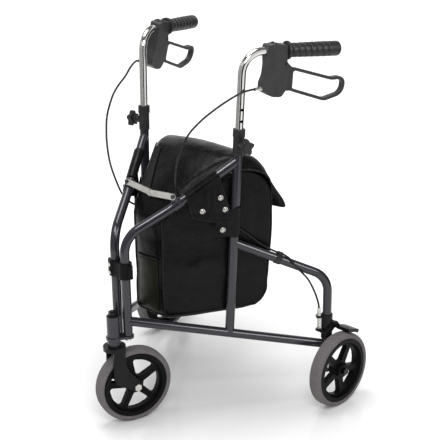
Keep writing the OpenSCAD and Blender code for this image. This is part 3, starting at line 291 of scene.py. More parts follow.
grips = {}
for side in SIDES:
    grip = turned(side + "_hand_grip", [(r * MM, z * MM) for r, z in outline], handle_bar(side))
    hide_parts(side + "_grip")
    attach(grip, side + "_handle")
    grips[side] = grip
print("grip rings:", GRIP_RINGS, "faces each:", len(grips["left"].data.polygons))

# %% [markdown]
# The bag is a sewn shell of coated cloth that hangs between the two frames. Seen from above it is a wedge,
# narrow in front, and seen from the side its top slopes up under the lid. It is lofted: rings of points,
# one for each height, run round four edges and four rounded corners. The edges swell a little, more at the
# bottom where the load lies, and noise in a fixed pattern gives the slack folds, so every run makes the
# same bag.

# %% Shape of the bag
BAG_FRONT, BAG_REAR, BAG_LOW, BAG_TOP = 0.088, 0.318, 0.250, 0.6245
BAG_INSET, LID_INSET = 0.0205, 0.0182
FRONT_ROUND, REAR_ROUND, SIDE_ROUND = 0.025, 0.055, 0.02
CORNER_ROUND = (0.014, 0.014, 0.022, 0.022)
LEAN_FROM, CLIMB_FROM, SHOULDER_FROM, SHOULDER_R = 0.5, 0.548, 0.573, 0.052
SWELL_HIGH = 0.345
WIDEN = math.tan(OPEN)


def half_width(depth, inset):
    """Half the room between the frames at a depth behind the front tubes."""
    return HINGE_X - inset / math.cos(OPEN) + WIDEN * depth


def round_in(rise, radius):
    """How far a rounded lower edge draws in at a height above the floor."""
    return 0 if rise >= radius else radius - math.sqrt(max(0, radius ** 2 - (radius - rise) ** 2))


def smooth(low, high, x):
    """Soft step from nought at the low end to one at the high end."""
    t = min(1, max(0, (x - low) / (high - low)))
    return t * t * (3 - 2 * t)


def bag_ends(z):
    """Front and rear of the bag at a height."""
    rise = z - BAG_LOW
    front = BAG_FRONT + round_in(rise, FRONT_ROUND)
    if z > LEAN_FROM:
        front = BAG_FRONT + 0.5 * (z - LEAN_FROM)
    if z > CLIMB_FROM:
        front = 0.112 + (z - CLIMB_FROM) * 1.59
    rear = BAG_REAR - round_in(rise, REAR_ROUND) - 0.010 * (1 - smooth(0.30, 0.48, z))
    if z > SHOULDER_FROM:
        rear = 0.266 + math.sqrt(max(0, SHOULDER_R ** 2 - (z - SHOULDER_FROM) ** 2))
    return front, max(rear, front + 0.02)


def edge_swell(i, t, z):
    """How far an edge bulges: most in its middle, and at the sides only where the load lies."""
    level = max(0, math.sin(math.pi * min(1, max(0, (z - BAG_LOW) / SWELL_HIGH)))) ** 0.7
    across = max(0, math.sin(math.pi * t)) ** 0.7
    side = 0.0008 + 0.004 * (1 - smooth(0.35, 0.43, z))
    return across * level * (0.005, side, 0.009, side)[i]


def bag_skin(edge, t, z, out=0.0):
    """Point of the bag. Edges 0 front, 2 left, 4 rear, 6 right. The odd ones are the corners after them."""
    front, rear = bag_ends(z)
    tuck = round_in(z - BAG_LOW, SIDE_ROUND)
    wide = [max(0.01, half_width(y, BAG_INSET) - tuck) for y in (front, rear)]
    corner = [Vector((-wide[0], front)), Vector((wide[0], front)),
              Vector((wide[1], rear)), Vector((-wide[1], rear))]
    run = [corner[(i + 1) % 4] - corner[i] for i in range(4)]
    cut = [min(r, 0.4 * run[i].length, 0.4 * run[i - 1].length) for i, r in enumerate(CORNER_ROUND)]
    i = edge // 2
    nxt = (i + 1) % 4
    ahead, after = run[i].normalized(), run[nxt].normalized()
    normal = Vector((ahead.y, -ahead.x))
    if edge % 2:
        a, b = corner[nxt] - cut[nxt] * ahead, corner[nxt] + cut[nxt] * after
        p = (1 - t) ** 2 * a + 2 * t * (1 - t) * corner[nxt] + t * t * b
        normal = (normal * (1 - t) + Vector((after.y, -after.x)) * t).normalized()
        swell = 0
    else:
        a, b = corner[i] + cut[i] * ahead, corner[nxt] - cut[nxt] * ahead
        p = a + t * (b - a)
        swell = edge_swell(i, t, z)
    spot = Vector((p.x, p.y, z))
    fold = noise.noise(spot * 13 + Vector((3, 0, 0))) + 0.45 * noise.noise(spot * 34)
    drag = noise.noise(Vector((p.x * 9 + z * 16, p.y * 9, z * 5 - p.x * 8)))
    slack = 0.0006 if i in (1, 3) and z > 0.40 else 0.0023
    p = p + normal * (swell + slack * (fold + 0.6 * drag) + out)
    side = abs(p.x) / max(0.01, half_width(p.y, LID_INSET))
    sunk = 0.020 * smooth(0.66, 1, side) * smooth(0.51, 0.59, z)
    tilt = 0.007 * (p.y - 0.19) / 0.12 * (1 - smooth(0.26, 0.46, z))
    return Vector((p.x, HINGE_Y + p.y, z - sunk + tilt))


print("bag half width, front and rear:",
      [round(half_width(depth, BAG_INSET), 3) for depth in (BAG_FRONT, BAG_REAR)])

# %% Bag body
EDGE_STEPS = (18, 8, 44, 8, 48, 8, 44, 8)
stations = [(edge, k / n) for edge, n in enumerate(EDGE_STEPS) for k in range(n)]
levels = [BAG_LOW + h for h in (0.0002, 0.0012, 0.003, 0.006, 0.010, 0.015, 0.021, 0.029, 0.039, 0.050)]
levels += [0.314 + 0.0075 * k for k in range(42)]
levels = [z for z in levels if z < BAG_TOP] + [BAG_TOP]
FLOOR_RINGS, ROOF_RINGS = 8, 3
RINGS = FLOOR_RINGS + len(levels) - 1 + ROOF_RINGS
FLOOR_SAG = 0.005


def draped(name, across, along, at, seam=False):
    """A grid whose points are laid out by at(across, along), both from 0 to 1."""
    bpy.ops.mesh.primitive_grid_add(x_subdivisions=across, y_subdivisions=along, size=1)
    piece = bpy.context.object
    piece.name = name
    for v in piece.data.vertices:
        v.co = at(min(1, max(0, v.co.x + 0.5)), min(1, max(0, v.co.y + 0.5)))
    bpy.ops.object.mode_set(mode="EDIT")
    bpy.ops.mesh.select_all(action="SELECT")
    if seam:
        bpy.ops.mesh.remove_doubles(threshold=0.0002)
        bpy.ops.mesh.normals_make_consistent(inside=False)
    bpy.ops.object.mode_set(mode="OBJECT")
    bpy.ops.object.shade_smooth()
    return piece


def bag_at(a, b):
    """Point of the whole shell: floor rings from the middle out, the walls, then the roof back in."""
    edge, t = stations[round(a * len(stations)) % len(stations)]
    ring = round(b * RINGS)
    if ring < FLOOR_RINGS:
        share = ring / FLOOR_RINGS
        middle = Vector((0, HINGE_Y + 0.21, BAG_LOW))
        p = middle + (bag_skin(edge, t, levels[0]) - middle) * share
        p.z -= FLOOR_SAG * (1 - share ** 2)
        return p
    ring -= FLOOR_RINGS
    if ring < len(levels):
        return bag_skin(edge, t, levels[ring])
    share = 1 - (ring - len(levels) + 1) / ROOF_RINGS
    middle = Vector((0, HINGE_Y + 0.252, BAG_TOP))
    return middle + (bag_skin(edge, t, levels[-1]) - middle) * share


bag = draped("bag_shell", len(stations), RINGS, bag_at, seam=True)
print("bag shell:", len(bag.data.polygons), "faces")

# %% [markdown]
# Where two panels of such a bag meet, a round cord covered with cloth is sewn in. It stiffens the edge and
# draws a thin line of light down it. It follows the corners of the loft from the lid down, and round the
# floor. A shallow pocket is sewn on the front panel, with a doubled hem along its mouth.

# %% Piping and front pocket
PIPING_R = 0.0021
PIPING_TOP = {1: 0.540, 7: 0.540, 3: 0.585, 5: 0.585}
piping_z = [0.262 + 0.0085 * k for k in range(39)]
piping = []
for edge, top in PIPING_TOP.items():
    route = [bag_skin(edge, 0.5, z, 0.0008) for z in piping_z if z < top]
    piping.append(tube_along("bag_piping_%d" % edge, route, PIPING_R))
floor_loop = [bag_skin(edge, t, BAG_LOW + 0.012, 0.0006) for edge, t in stations[::2]]
piping.append(tube_along("bag_piping_floor", floor_loop, PIPING_R, closed=True))

POCKET_LOW, POCKET_HIGH, POCKET_STEPS = 0.272, 0.404, 28


def pocket_at(a, b):
    """Point of the pocket, a little off the bag's front panel."""
    z = POCKET_LOW + (POCKET_HIGH - POCKET_LOW) * b
    swell = max(0, math.sin(math.pi * a)) ** 0.6 * (0.35 + 0.65 * max(0, math.sin(math.pi * b)) ** 0.6)
    return bag_skin(0, 0.03 + 0.94 * a, z, 0.0012 + 0.004 * swell)


pocket = draped("bag_pocket", POCKET_STEPS, 34, pocket_at)
hem_drop = Vector((0, -0.0004, -0.0008))
hem = [pocket_at(k / POCKET_STEPS, 1) + hem_drop for k in range(POCKET_STEPS + 1)]
pocket_hem = tube_along("bag_pocket_hem", hem, 0.0016)
print("piping pieces:", len(piping), "pocket faces:", len(pocket.data.polygons))

# %% [markdown]
# The lid is one piece of cloth over a thin stiffening board. It is sewn to the bag's front edge, climbs
# with the frames, rounds the rear edge and ends in a flap that stands off the rear panel. A grid is laid
# along that path, with a low crown in the middle and its side edges turned down, and then given a
# thickness.

# %% Lid
LID_PATH = [Vector((0, y, z)) for y, z in (
    (0.107, 0.547), (0.110, 0.5535), (0.128, 0.5655), (0.150, 0.5795), (0.175, 0.5955), (0.200, 0.611),
    (0.232, 0.6285), (0.255, 0.6335), (0.280, 0.6315), (0.302, 0.622), (0.317, 0.604), (0.3235, 0.582),
    (0.327, 0.560), (0.333, 0.535), (0.341, 0.512), (0.344, 0.504))]
LID_T, LID_END, LID_TURNED, RIM_DOWN = 0.003, 0.344, 0.012, -0.0015
CORNER_ACROSS, CORNER_ALONG = 0.24, 0.135
lid_line = through(LID_PATH, 5)


def along_line(line, share):
    """Point at a share of a line's points, between them too, and its direction there."""
    x = share * (len(line) - 1)
    i = min(int(x), len(line) - 2)
    return line[i].lerp(line[i + 1], x - i), (line[i + 1] - line[i]).normalized()


def rounded(u, b):
    """Draw the two lower corners of the lid's flap in to quarter circles."""
    out = max(0, (abs(u) - 1) / CORNER_ACROSS + 1)
    down = max(0, (b - 1) / CORNER_ALONG + 1)
    if out and down:
        u = math.copysign(1 - CORNER_ACROSS * (1 - out * math.sqrt(1 - down ** 2 / 2)), u)
        b = 1 - CORNER_ALONG * (1 - down * math.sqrt(1 - out ** 2 / 2))
    return u, b


def lid_at(a, b, lift=0.0):
    """Point of the lid: across from the right, and from the front edge back to the end of the flap."""
    u, b = rounded(2 * a - 1, b)
    p, way = along_line(lid_line, b)
    upward = Vector((0, -way.z, way.y))
    wide = half_width(p.y, LID_INSET)
    crown = 0.0125 * (1 - u * u) * smooth(0, 0.35, b) * (1 - 0.6 * smooth(0.6, 1, b))
    crown += 0.0015 * (1 - u * u)
    drop = 0.023 * smooth(0.70, 1.02, abs(u)) ** 1.3 * smooth(0, 0.3, b) * (1 - smooth(0.70, 0.9, b))
    spot = Vector((u * wide, p.y, p.z))
    fold = 0.0011 * noise.noise(spot * 15) + 0.0005 * noise.noise(spot * 45)
    wave = 0.0035 * math.sin(u * 7.5 + 0.8) * smooth(0.78, 1, b)
    draw_in = 0.0035 * smooth(0.93, 1.0, abs(u)) * (1 if u > 0 else -1)
    p = p + upward * (crown - drop + fold + wave + lift)
    return Vector((u * wide - draw_in, HINGE_Y + p.y, p.z))


def thicken(piece, depth, offset):
    wall = piece.modifiers.new("wall", "SOLIDIFY")
    wall.thickness = depth
    wall.offset = offset
    pick(piece)
    bpy.ops.object.modifier_apply(modifier=wall.name)


def cloth_area(piece):
    return sum(f.area for f in piece.data.polygons)


lid = draped("bag_lid_cloth", 64, 90, lid_at)
lid_length = sum((b - a).length for a, b in zip(lid_line, lid_line[1:]))
thicken(lid, LID_T, -1)
rim_line = [lid_at(0, k / 60, RIM_DOWN) for k in range(61)]
rim_line += [lid_at(k / 40, 1, RIM_DOWN) for k in range(1, 41)]
rim_line += [lid_at(1, 1 - k / 60, RIM_DOWN) for k in range(1, 61)]
lid_binding = tube_along("bag_lid_binding", rim_line, 0.0024)

# %% [markdown]
# A webbing strap runs from the middle of the cross brace up the front of the lid, slanting to the user's
# right. Pulling it lifts the brace and folds the walker. It is a flat woven band, so a narrow grid is laid
# on the lid's own surface, a millimetre above it, and gets a small thickness.

# %% Lifting strap
STRAP_WIDE, STRAP_SLANT, STRAP_T = 0.019, 0.67, 0.0017
STRAP_FOOT, STRAP_HEAD, STRAP_X, STRAP_LIFT = 0.107, 0.216, -0.020, 0.0012
LID_CLIMB = 0.627
strap_across = STRAP_WIDE * math.hypot(1, STRAP_SLANT / math.hypot(1, LID_CLIMB))


def lid_share(depth):
    """Share of the lid's path at which it reaches a depth behind the front tubes."""
    for k in range(len(lid_line) - 1):
        near, far = lid_line[k].y, lid_line[k + 1].y
        if far >= depth:
            return (k + max(0, (depth - near) / (far - near))) / (len(lid_line) - 1)


def strap_at(a, b):
    """Point of the strap on the lid: across it, and from its foot to its head."""
    depth = STRAP_FOOT + (STRAP_HEAD - STRAP_FOOT) * b
    x = STRAP_X - STRAP_SLANT * (depth - STRAP_FOOT) + strap_across * (a - 0.5)
    u = x / half_width(depth, LID_INSET)
    ripple = 0.0002 * noise.noise(Vector((x * 60, depth * 40, 0)))
    return lid_at(0.5 + u / 2, lid_share(depth), STRAP_LIFT + ripple)


strap = draped("bag_lift_strap", 8, 60, strap_at)
strap_line = [strap_at(0.5, k / 40) for k in range(41)]
thicken(strap, STRAP_T, 1)

# %% [markdown]
# On each side a flap of the same cloth goes over the sloping tube, hangs down outside and closes with press
# studs, and a band goes round the upright post. The flap is one grid: it starts inside the tube, goes over
# its top and falls to the lower hem. The band is a second grid, flat in front and curved round the post.

# %% Side flaps
FLAP_R, CLOTH_T, HEM_OUT = 0.0128, 0.0012, 0.0006
SLOPE_A = math.atan(SLOPE)
WRAP, FLAP_BEND, BAND_FLAT = 0.42, 0.56, 0.42
BAND_FRONT, BAND_R = 0.213, 0.0120
BAG_INNER = Vector((0.2, 0.5, 0.5))


def flap_local(a, b, out=0.0):
    """Point of a flap along the frame, inwards and up."""
    u_top = 0.148 + 0.075 * a
    z_top = slope_height(u_top)
    if b < WRAP:
        turn_by = math.radians(-75 + 165 * b / WRAP)
        r = FLAP_R + out
        rise = r * math.cos(turn_by)
        return Vector((u_top - rise * math.sin(SLOPE_A), -r * math.sin(turn_by),
                       z_top + rise * math.cos(SLOPE_A)))
    t = (b - WRAP) / (1 - WRAP)
    if a < FLAP_BEND:
        low = Vector((0.159 + 0.054 * a / FLAP_BEND, 0, 0.515 - 0.016 * a / FLAP_BEND))
    else:
        low = Vector((0.213 + 0.043 * (a - 0.56) / 0.44, 0, 0.499 - 0.004 * (a - 0.56) / 0.44))
    p = Vector((u_top, 0, z_top)).lerp(low, t)
    ripple = 0.0009 * noise.noise(Vector((p.x * 60, 0, p.z * 26))) * smooth(0, 0.25, t)
    p.y = -(FLAP_R + out + abs(ripple) + 0.0006 * smooth(0.7, 1, t))
    return p


def band_local(a, b, out=0.0):
    """Point of a band: along its length from the front, and up."""
    z = 0.4575 + 0.075 * b
    z_flat = 0.463 + 0.040 * b
    middle = 0.246 + (z - 0.208) * 0.05416
    r = BAND_R + out
    if a < BAND_FLAT:
        t = a / BAND_FLAT
        u = BAND_FRONT + (middle - BAND_FRONT) * t
        wave = 0.0005 * math.sin(9 * t + 5 * b)
        return Vector((u, -(r + 0.0020 * (1 - smooth(0.5, 1, t)) + abs(wave)),
                       z_flat + (z - z_flat) * smooth(0.55, 1, t)))
    turn_by = math.radians(-90 + 250 * (a - BAND_FLAT) / (1 - BAND_FLAT))
    return Vector((middle + r * math.cos(turn_by), r * math.sin(turn_by), z))


flaps, bands, flap_hems = {}, {}, {}
for side in SIDES:
    place = side_frame(side)
    flap = draped(side + "_flap_cloth", 36, 70, lambda a, b: place @ flap_local(a, b))
    band = draped(side + "_flap_band", 70, 22, lambda a, b: place @ band_local(a, b))
    for piece, key, at in ((flap, flaps, flap_local), (band, bands, band_local)):
        outside = piece.data.polygons[len(piece.data.polygons) // 2]
        if outside.normal.dot(outside.center - place @ BAG_INNER) < 0:
            piece.data.flip_normals()
        key[side] = (piece, cloth_area(piece))
        thicken(piece, CLOTH_T, 1)
    edge = [flap_local(0, 0.42 + 0.58 * k / 16, HEM_OUT) for k in range(17)]
    edge += [flap_local(k / 24, 1, HEM_OUT) for k in range(1, 25)]
    edge += [flap_local(1, 1 - 0.58 * k / 16, HEM_OUT) for k in range(1, 17)]
    flap_hems[side] = tube_along(side + "_flap_hem", [place @ p for p in edge], 0.0013, sides=8)
    print(side, "flap faces:", len(flap.data.polygons), "band faces:", len(band.data.polygons))

# %% [markdown]
# The press studs are small dome caps with a rolled ring, pressed through the cloth. They are turned like
# the grips, from an outline a few millimetres across, once for each place.

# %% Press studs
STUD = [(0, 3.0), (2.2, 2.8), (3.8, 2.2), (4.7, 1.3), (4.9, 0.7), (5.4, 0.9), (6.0, 1.0), (6.5, 0.7),
    (6.7, 0.1), (6.6, -0.5), (0, -0.5)]
STUD_PLACES = [(225.6, 558.9), (235.9, 529.5), (182.2, 529.2), (229.4, 479.6)]
STUD_SEATS = (-0.0150, -0.0150, -0.0150, -0.0157)
stud_outline = [(r * MM, h * MM) for r, h in STUD]
studs = {side: [] for side in SIDES}
for side in SIDES:
    for k, (u, z) in enumerate(STUD_PLACES):
        seat = Matrix.Translation((u * MM, STUD_SEATS[k], z * MM)) @ Matrix.Rotation(math.pi / 2, 4, "X")
        studs[side].append(turned("%s_stud_%d" % (side, k + 1), stud_outline, side_frame(side) @ seat, 28))
print("studs:", sum(len(s) for s in studs.values()))

# %% [markdown]
# Seams show as rows of thread. Each stitch is a short round bar just above the cloth, about 3 mm long, and
# a whole row is one curve with many short splines, made a mesh in one go.

# %% Stitching
def stitched(name, route, stitch=0.0034, gap=0.0022, thick=0.00045):
    """A row of stitches along a route, as one mesh."""
    far = [0.0]
    for a, b in zip(route, route[1:]):
        far.append(far[-1] + (b - a).length)

    def spot(d):
        for i in range(len(route) - 1):
            if far[i + 1] >= d:
                return route[i].lerp(route[i + 1], (d - far[i]) / max(1e-9, far[i + 1] - far[i]))
        return route[-1]

    runs, d = [], gap
    while d + stitch < far[-1]:
        runs.append((spot(d), spot(d + stitch / 2), spot(d + stitch)))
        d += stitch + gap
    return swept(name, runs, thick, 1)


LID_OVER, FLAP_OVER = 0.0002, 0.0014
lid_route = [lid_at(0.035, 0.03 + 0.94 * k / 90, LID_OVER) for k in range(91)]
lid_route += [lid_at(0.035 + 0.93 * k / 60, 0.97, LID_OVER) for k in range(1, 61)]
lid_route += [lid_at(0.965, 0.97 - 0.94 * k / 90, LID_OVER) for k in range(1, 91)]
lid_thread = stitched("bag_lid_thread", lid_route)
pocket_route = [pocket_at(k / 40, 0.93) + Vector((0, -0.0002, 0)) for k in range(41)]
pocket_thread = stitched("bag_pocket_thread", pocket_route)
STRAP_BOX = [(0.12, 0.78), (0.88, 0.78), (0.88, 0.97), (0.12, 0.97), (0.12, 0.78), (0.88, 0.97)]
strap_over = Vector((0, -0.0010, 0.0016))
strap_route = []
for (a0, b0), (a1, b1) in zip(STRAP_BOX, STRAP_BOX[1:]):
    strap_route += [strap_at(a0 + (a1 - a0) * k / 8, b0 + (b1 - b0) * k / 8) + strap_over for k in range(8)]
strap_thread = stitched("bag_strap_thread", strap_route, 0.0024, 0.0014, 0.0004)
flap_thread = {}
for side in SIDES:
    inner = [flap_local(0.10, 0.50 + 0.42 * k / 20, FLAP_OVER) for k in range(21)]
    inner += [flap_local(0.10 + 0.82 * k / 30, 0.93, FLAP_OVER) for k in range(1, 31)]
    inner += [flap_local(0.92, 0.93 - 0.40 * k / 20, FLAP_OVER) for k in range(1, 21)]
    flap_thread[side] = stitched(side + "_flap_thread", [side_frame(side) @ p for p in inner])
print("thread rows:", 3 + len(flap_thread))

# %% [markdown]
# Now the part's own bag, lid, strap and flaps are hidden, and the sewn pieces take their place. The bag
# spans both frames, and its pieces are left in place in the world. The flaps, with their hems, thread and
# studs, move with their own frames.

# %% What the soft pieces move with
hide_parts("bag_body")
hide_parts("bag_lid")
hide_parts("bag_strap")
bag_pieces = [bag, lid, strap, pocket, pocket_hem, lid_binding, lid_thread, pocket_thread, strap_thread]
bag_pieces += piping
for piece in bag_pieces:
    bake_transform(piece)
for side in SIDES:
    flap, flap_area = flaps[side]
    band, band_area = bands[side]
    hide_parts(side + "_bag_flap")
    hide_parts(side + "_bag_flap")
    for piece in [flap, band, flap_hems[side], flap_thread[side]] + studs[side]:
        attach(piece, side + "_frame")
print("soft pieces:", len(bag_pieces), "on the bag and", 2 * (4 + len(STUD_PLACES)), "on the flaps")

# %% [markdown]
# Finishes come next. Each one starts from the same shader and gets its own grain: paint has the fine ripple
# of a baked powder coat, plating has draw lines, rubber has pores and cloth has a weave. All patterns are
# measured on the piece itself, in metres, so they keep their real size on every piece and in every view.

# %% Tools for finishes
def set_sockets(node, **values):
    """Put constant values on a node's sockets, named here with _ for a space."""
    for socket, value in values.items():
        node.inputs[socket.replace("_", " ")].default_value = value
    return node


def finish(name, colour, rough, metallic=0.0, **sockets):
    """A material with constant values, its node tree and its shader."""
    made = bpy.data.materials.new(name)
    made.use_nodes = True
    shader = made.node_tree.nodes["Principled BSDF"]
    set_sockets(shader, Base_Color=(*colour, 1), Roughness=rough, Metallic=metallic, **sockets)
    return made, made.node_tree, shader


def measured(tree, stretch=(1, 1, 1), source="Object"):
    place = tree.nodes.new("ShaderNodeTexCoord")
    mapping = set_sockets(tree.nodes.new("ShaderNodeMapping"), Scale=stretch)
    tree.links.new(place.outputs[source], mapping.inputs["Vector"])
    return mapping.outputs["Vector"]


def pattern(tree, kind, where, **values):
    made = set_sockets(tree.nodes.new("ShaderNodeTex" + kind), **values)
    tree.links.new(where, made.inputs["Vector"])
    return made


def cloudy(tree, where, scale, detail=3.0, harsh=0.55):
    return pattern(tree, "Noise", where, Scale=scale, Detail=detail, Roughness=harsh).outputs["Fac"]


def pebbled(tree, where, scale, feature="F1"):
    made = pattern(tree, "Voronoi", where, Scale=scale)
    made.feature = feature
    return made.outputs["Distance"]


def woven(tree, where, scale, direction):
    made = pattern(tree, "Wave", where, Scale=scale, Distortion=0.6, Detail=1.0)
    made.bands_direction = direction
    return made.outputs["Fac"]


def reckon(tree, operation, *amounts):
    """A math node on one or two amounts."""
    made = tree.nodes.new("ShaderNodeMath")
    made.operation = operation
    for amount, socket in zip(amounts, made.inputs):
        tree.links.new(amount, socket)
    return made.outputs[0]


def tinted(tree, shader, amount, stops):
    """Colour the shader by a ramp of (place, colour) stops."""
    ramp = tree.nodes.new("ShaderNodeValToRGB")
    for stop, (at, colour) in zip(ramp.color_ramp.elements, (stops[0], stops[-1])):
        stop.position, stop.color = at, (*colour, 1)
    for at, colour in stops[1:-1]:
        ramp.color_ramp.elements.new(at).color = (*colour, 1)
    tree.links.new(amount, ramp.inputs["Fac"])
    tree.links.new(ramp.outputs["Color"], shader.inputs["Base Color"])


def ranged(tree, amount, low, high, socket):
    """Spread a pattern's middle part between two values of a socket."""
    made = tree.nodes.new("ShaderNodeMapRange")
    set_sockets(made, From_Min=0.3, From_Max=0.7, To_Min=low, To_Max=high)
    tree.links.new(amount, made.inputs["Value"])
    tree.links.new(made.outputs["Result"], socket)


def raised(tree, shader, height, strength, depth):
    """Add a bump on top of the bumps the shader has."""
    made = set_sockets(tree.nodes.new("ShaderNodeBump"), Strength=strength, Distance=depth)
    tree.links.new(height, made.inputs["Height"])
    before = shader.inputs["Normal"].links
    if before:
        tree.links.new(before[0].from_socket, made.inputs["Normal"])
    tree.links.new(made.outputs["Normal"], shader.inputs["Normal"])


def shades(dark, light, top=0.7):
    return [(0.3, dark), (top, light)]


def surface(name, colour, rough, tint, gloss=None, bumps=(), metallic=0.0, specular=0.5, **sockets):
    """A finish with a cloudy tint, a cloudy gloss and a row of bumps, all measured on the piece.

    The tint is (cloud values, stops), the gloss (cloud values, least and most roughness), and each bump
    (grain, its values, strength, depth).
    """
    made, tree, shader = finish(name, colour, rough, metallic, Specular_IOR_Level=specular, **sockets)
    where = measured(tree)
    tinted(tree, shader, cloudy(tree, where, *tint[0]), tint[1])
    if gloss:
        ranged(tree, cloudy(tree, where, *gloss[0]), *gloss[1:], shader.inputs["Roughness"])
    for grain, values, strength, depth in bumps:
        raised(tree, shader, grain(tree, where, *values), strength, depth)
    return made


def dress(made, pieces):
    for piece in pieces:
        piece.data.materials.clear()
        piece.data.materials.append(made)


def dress_nodes(made, *names):
    dress(made, [nodes[name] for name in names])


def both(*names):
    return [side + "_" + name for side in SIDES for name in names]


# %% [markdown]
# The side frames are steel tube with a dark slate powder coat. Baked powder flows into a soft ripple a few
# millimetres across, which breaks up reflections, and its gloss varies a little where hands and cloth have
# rubbed.

# %% Frame paint
PAINTED = both("main_tube", "post", "bottom_tube", "rear_leg") + ["head_sleeve"]
paint = surface(
    "slate_powder_coat", (0.021, 0.0205, 0.028), 0.18,
    ((26, 4), shades((0.018, 0.0175, 0.024), (0.025, 0.0245, 0.033))), ((60, 5), 0.13, 0.23),
    [(cloudy, (420, 2), 0.07, 0.0005), (pebbled, (1500,), 0.04, 0.0002)], specular=0.32, Coat_Weight=0.22,
    Coat_Roughness=0.06)
dress_nodes(paint, *PAINTED)
print("painted nodes:", len(PAINTED))

# %% [markdown]
# Collars, knobs and clips are moulded black plastic. A spark eroded mould leaves an even fine grain, and
# the raised parts of it polish with use. The brake housings and levers are of a paler plastic, and the
# wheel rims and the hinge clamp of a darker one.

# %% Moulded plastic and wheel rims
plastic = surface(
    "satin_black_plastic", (0.019, 0.019, 0.020), 0.48,
    ((40, 4), shades((0.015, 0.015, 0.016), (0.024, 0.024, 0.025))), ((130, 4), 0.36, 0.54),
    [(pebbled, (1700,), 0.22, 0.0004), (cloudy, (300, 3), 0.10, 0.0006)], specular=0.28)
dress_nodes(plastic, *both("post_collar", "knob", "cable_clip"))

brake_plastic = surface(
    "brake_handle_plastic", (0.030, 0.030, 0.031), 0.42,
    ((40, 4), shades((0.025, 0.025, 0.026), (0.036, 0.036, 0.037))), ((130, 4), 0.32, 0.50),
    [(pebbled, (1700,), 0.18, 0.0004), (cloudy, (90, 3), 0.14, 0.0012)], specular=0.34)
dress_nodes(brake_plastic, *both("brake_housing", "brake_lever"))

rim_plastic = surface(
    "wheel_rim_plastic", (0.005, 0.005, 0.0055), 0.40,
    ((22, 5), shades((0.004, 0.004, 0.0045), (0.008, 0.0077, 0.0077), 0.72)), ((90, 4), 0.32, 0.52),
    [(pebbled, (1300,), 0.18, 0.0005)], specular=0.07)
dress_nodes(rim_plastic, *both("rear_rim"), "front_rim", "hinge_clamp")

# %% [markdown]
# Brackets, brake arms, the caster fork and the screws of the brake housings are steel with thin black
# paint. It is glossier than the plastic, and lets the sheet's slight unevenness through.

# %% Black painted steel
black_steel = surface(
    "black_painted_steel", (0.007, 0.007, 0.008), 0.30,
    ((30, 5), shades((0.006, 0.006, 0.007), (0.011, 0.011, 0.012))), ((75, 5), 0.24, 0.42),
    [(cloudy, (350, 2), 0.15, 0.0006)], specular=0.15)
dress_nodes(black_steel, *both("brake_bracket", "brake_arm", "housing_screws"), "fork", "caster_stem")

# %% [markdown]
# The handle tubes are bright plated. Plating mirrors its surroundings, but a used tube has faint lines
# along its length from drawing and sliding, and a little haze. Bolts, links, adjusters, springs and the
# front axle are zinc plated, which is whiter, duller and cloudy.

# %% Plated steel
chrome = surface(
    "bright_plated_tube", (0.60, 0.595, 0.58), 0.10,
    ((14, 3), shades((0.56, 0.555, 0.54), (0.63, 0.625, 0.61))), ((35, 5), 0.06, 0.15), metallic=1.0)
tree = chrome.node_tree
drawn_lines = cloudy(tree, measured(tree, (1, 1, 0.03)), 900, 2)
raised(tree, tree.nodes["Principled BSDF"], drawn_lines, 0.06, 0.0002)
dress_nodes(chrome, *both("handle_tube"))

zinc = surface(
    "zinc_plate", (0.62, 0.61, 0.57), 0.34, ((90, 5), shades((0.54, 0.53, 0.49), (0.69, 0.68, 0.64))),
    ((220, 4), 0.26, 0.46), [(cloudy, (1200, 2), 0.10, 0.0002)], metallic=1.0)
dress_nodes(zinc, *both("cable_adjuster", "brake_adjuster", "brace_link"), "hinge_bolts", "front_axle")
dress(zinc, springs.values())

# %% [markdown]
# The rear axles are plated where the nut sits inside the leg, and end in a blackened head in the hub. The
# distance from the middle of the walker tells the two ends apart, so one finish serves both axles.

# %% Rear axles
BLACK_FROM = 0.333
axle_plate, tree, shader = finish("part_blackened_axle", (0.6, 0.6, 0.6), 0.36, 1.0)
where = measured(tree)
apart = tree.nodes.new("ShaderNodeSeparateXYZ")
tree.links.new(where, apart.inputs[0])
away = reckon(tree, "ABSOLUTE", apart.outputs["X"])
tinted(tree, shader, away, [(0, (0.66, 0.66, 0.65)), (BLACK_FROM - 0.001, (0.70, 0.70, 0.69)),
                            (BLACK_FROM, (0.030, 0.030, 0.032)), (1, (0.022, 0.022, 0.023))])
ranged(tree, cloudy(tree, where, 220, 4), 0.28, 0.46, shader.inputs["Roughness"])
raised(tree, shader, cloudy(tree, where, 900, 2), 0.10, 0.0002)
dress_nodes(axle_plate, *both("rear_axle"))

# %% [markdown]
# The tyres are solid grey rubber foam, matt with a speckle of fine pores and a little dust. The grips are a
# softer black rubber. The brace lugs get the frame's paint, and the head bushes the collars' plastic.

# %% Rubber
TYRE_STOPS = [(0.28, (0.128, 0.116, 0.118)), (0.55, (0.151, 0.138, 0.140)), (0.75, (0.174, 0.161, 0.162))]
tyre_rubber = surface(
    "grey_tyre_rubber", (0.150, 0.137, 0.139), 0.82, ((45, 6, 0.65), TYRE_STOPS), ((120, 4), 0.72, 0.92),
    [(pebbled, (900,), 0.25, 0.0006), (cloudy, (260, 4), 0.12, 0.0008)])
dress_nodes(tyre_rubber, *both("rear_tyre"), "front_tyre")

grip_rubber = surface(
    "black_grip_rubber", (0.013, 0.013, 0.0135), 0.42,
    ((55, 4), shades((0.010, 0.010, 0.0105), (0.018, 0.0175, 0.0175))), ((160, 4), 0.34, 0.50),
    [(pebbled, (1400,), 0.20, 0.0004)], specular=0.30)
dress(grip_rubber, grips.values())
dress_nodes(paint, *both("brace_lug"))
dress_nodes(plastic, "head_bushes")

# %% [markdown]
# The brake cables have a smooth black sheath with a faint unevenness from the wound wire in it. The press
# studs are bright nickel caps.

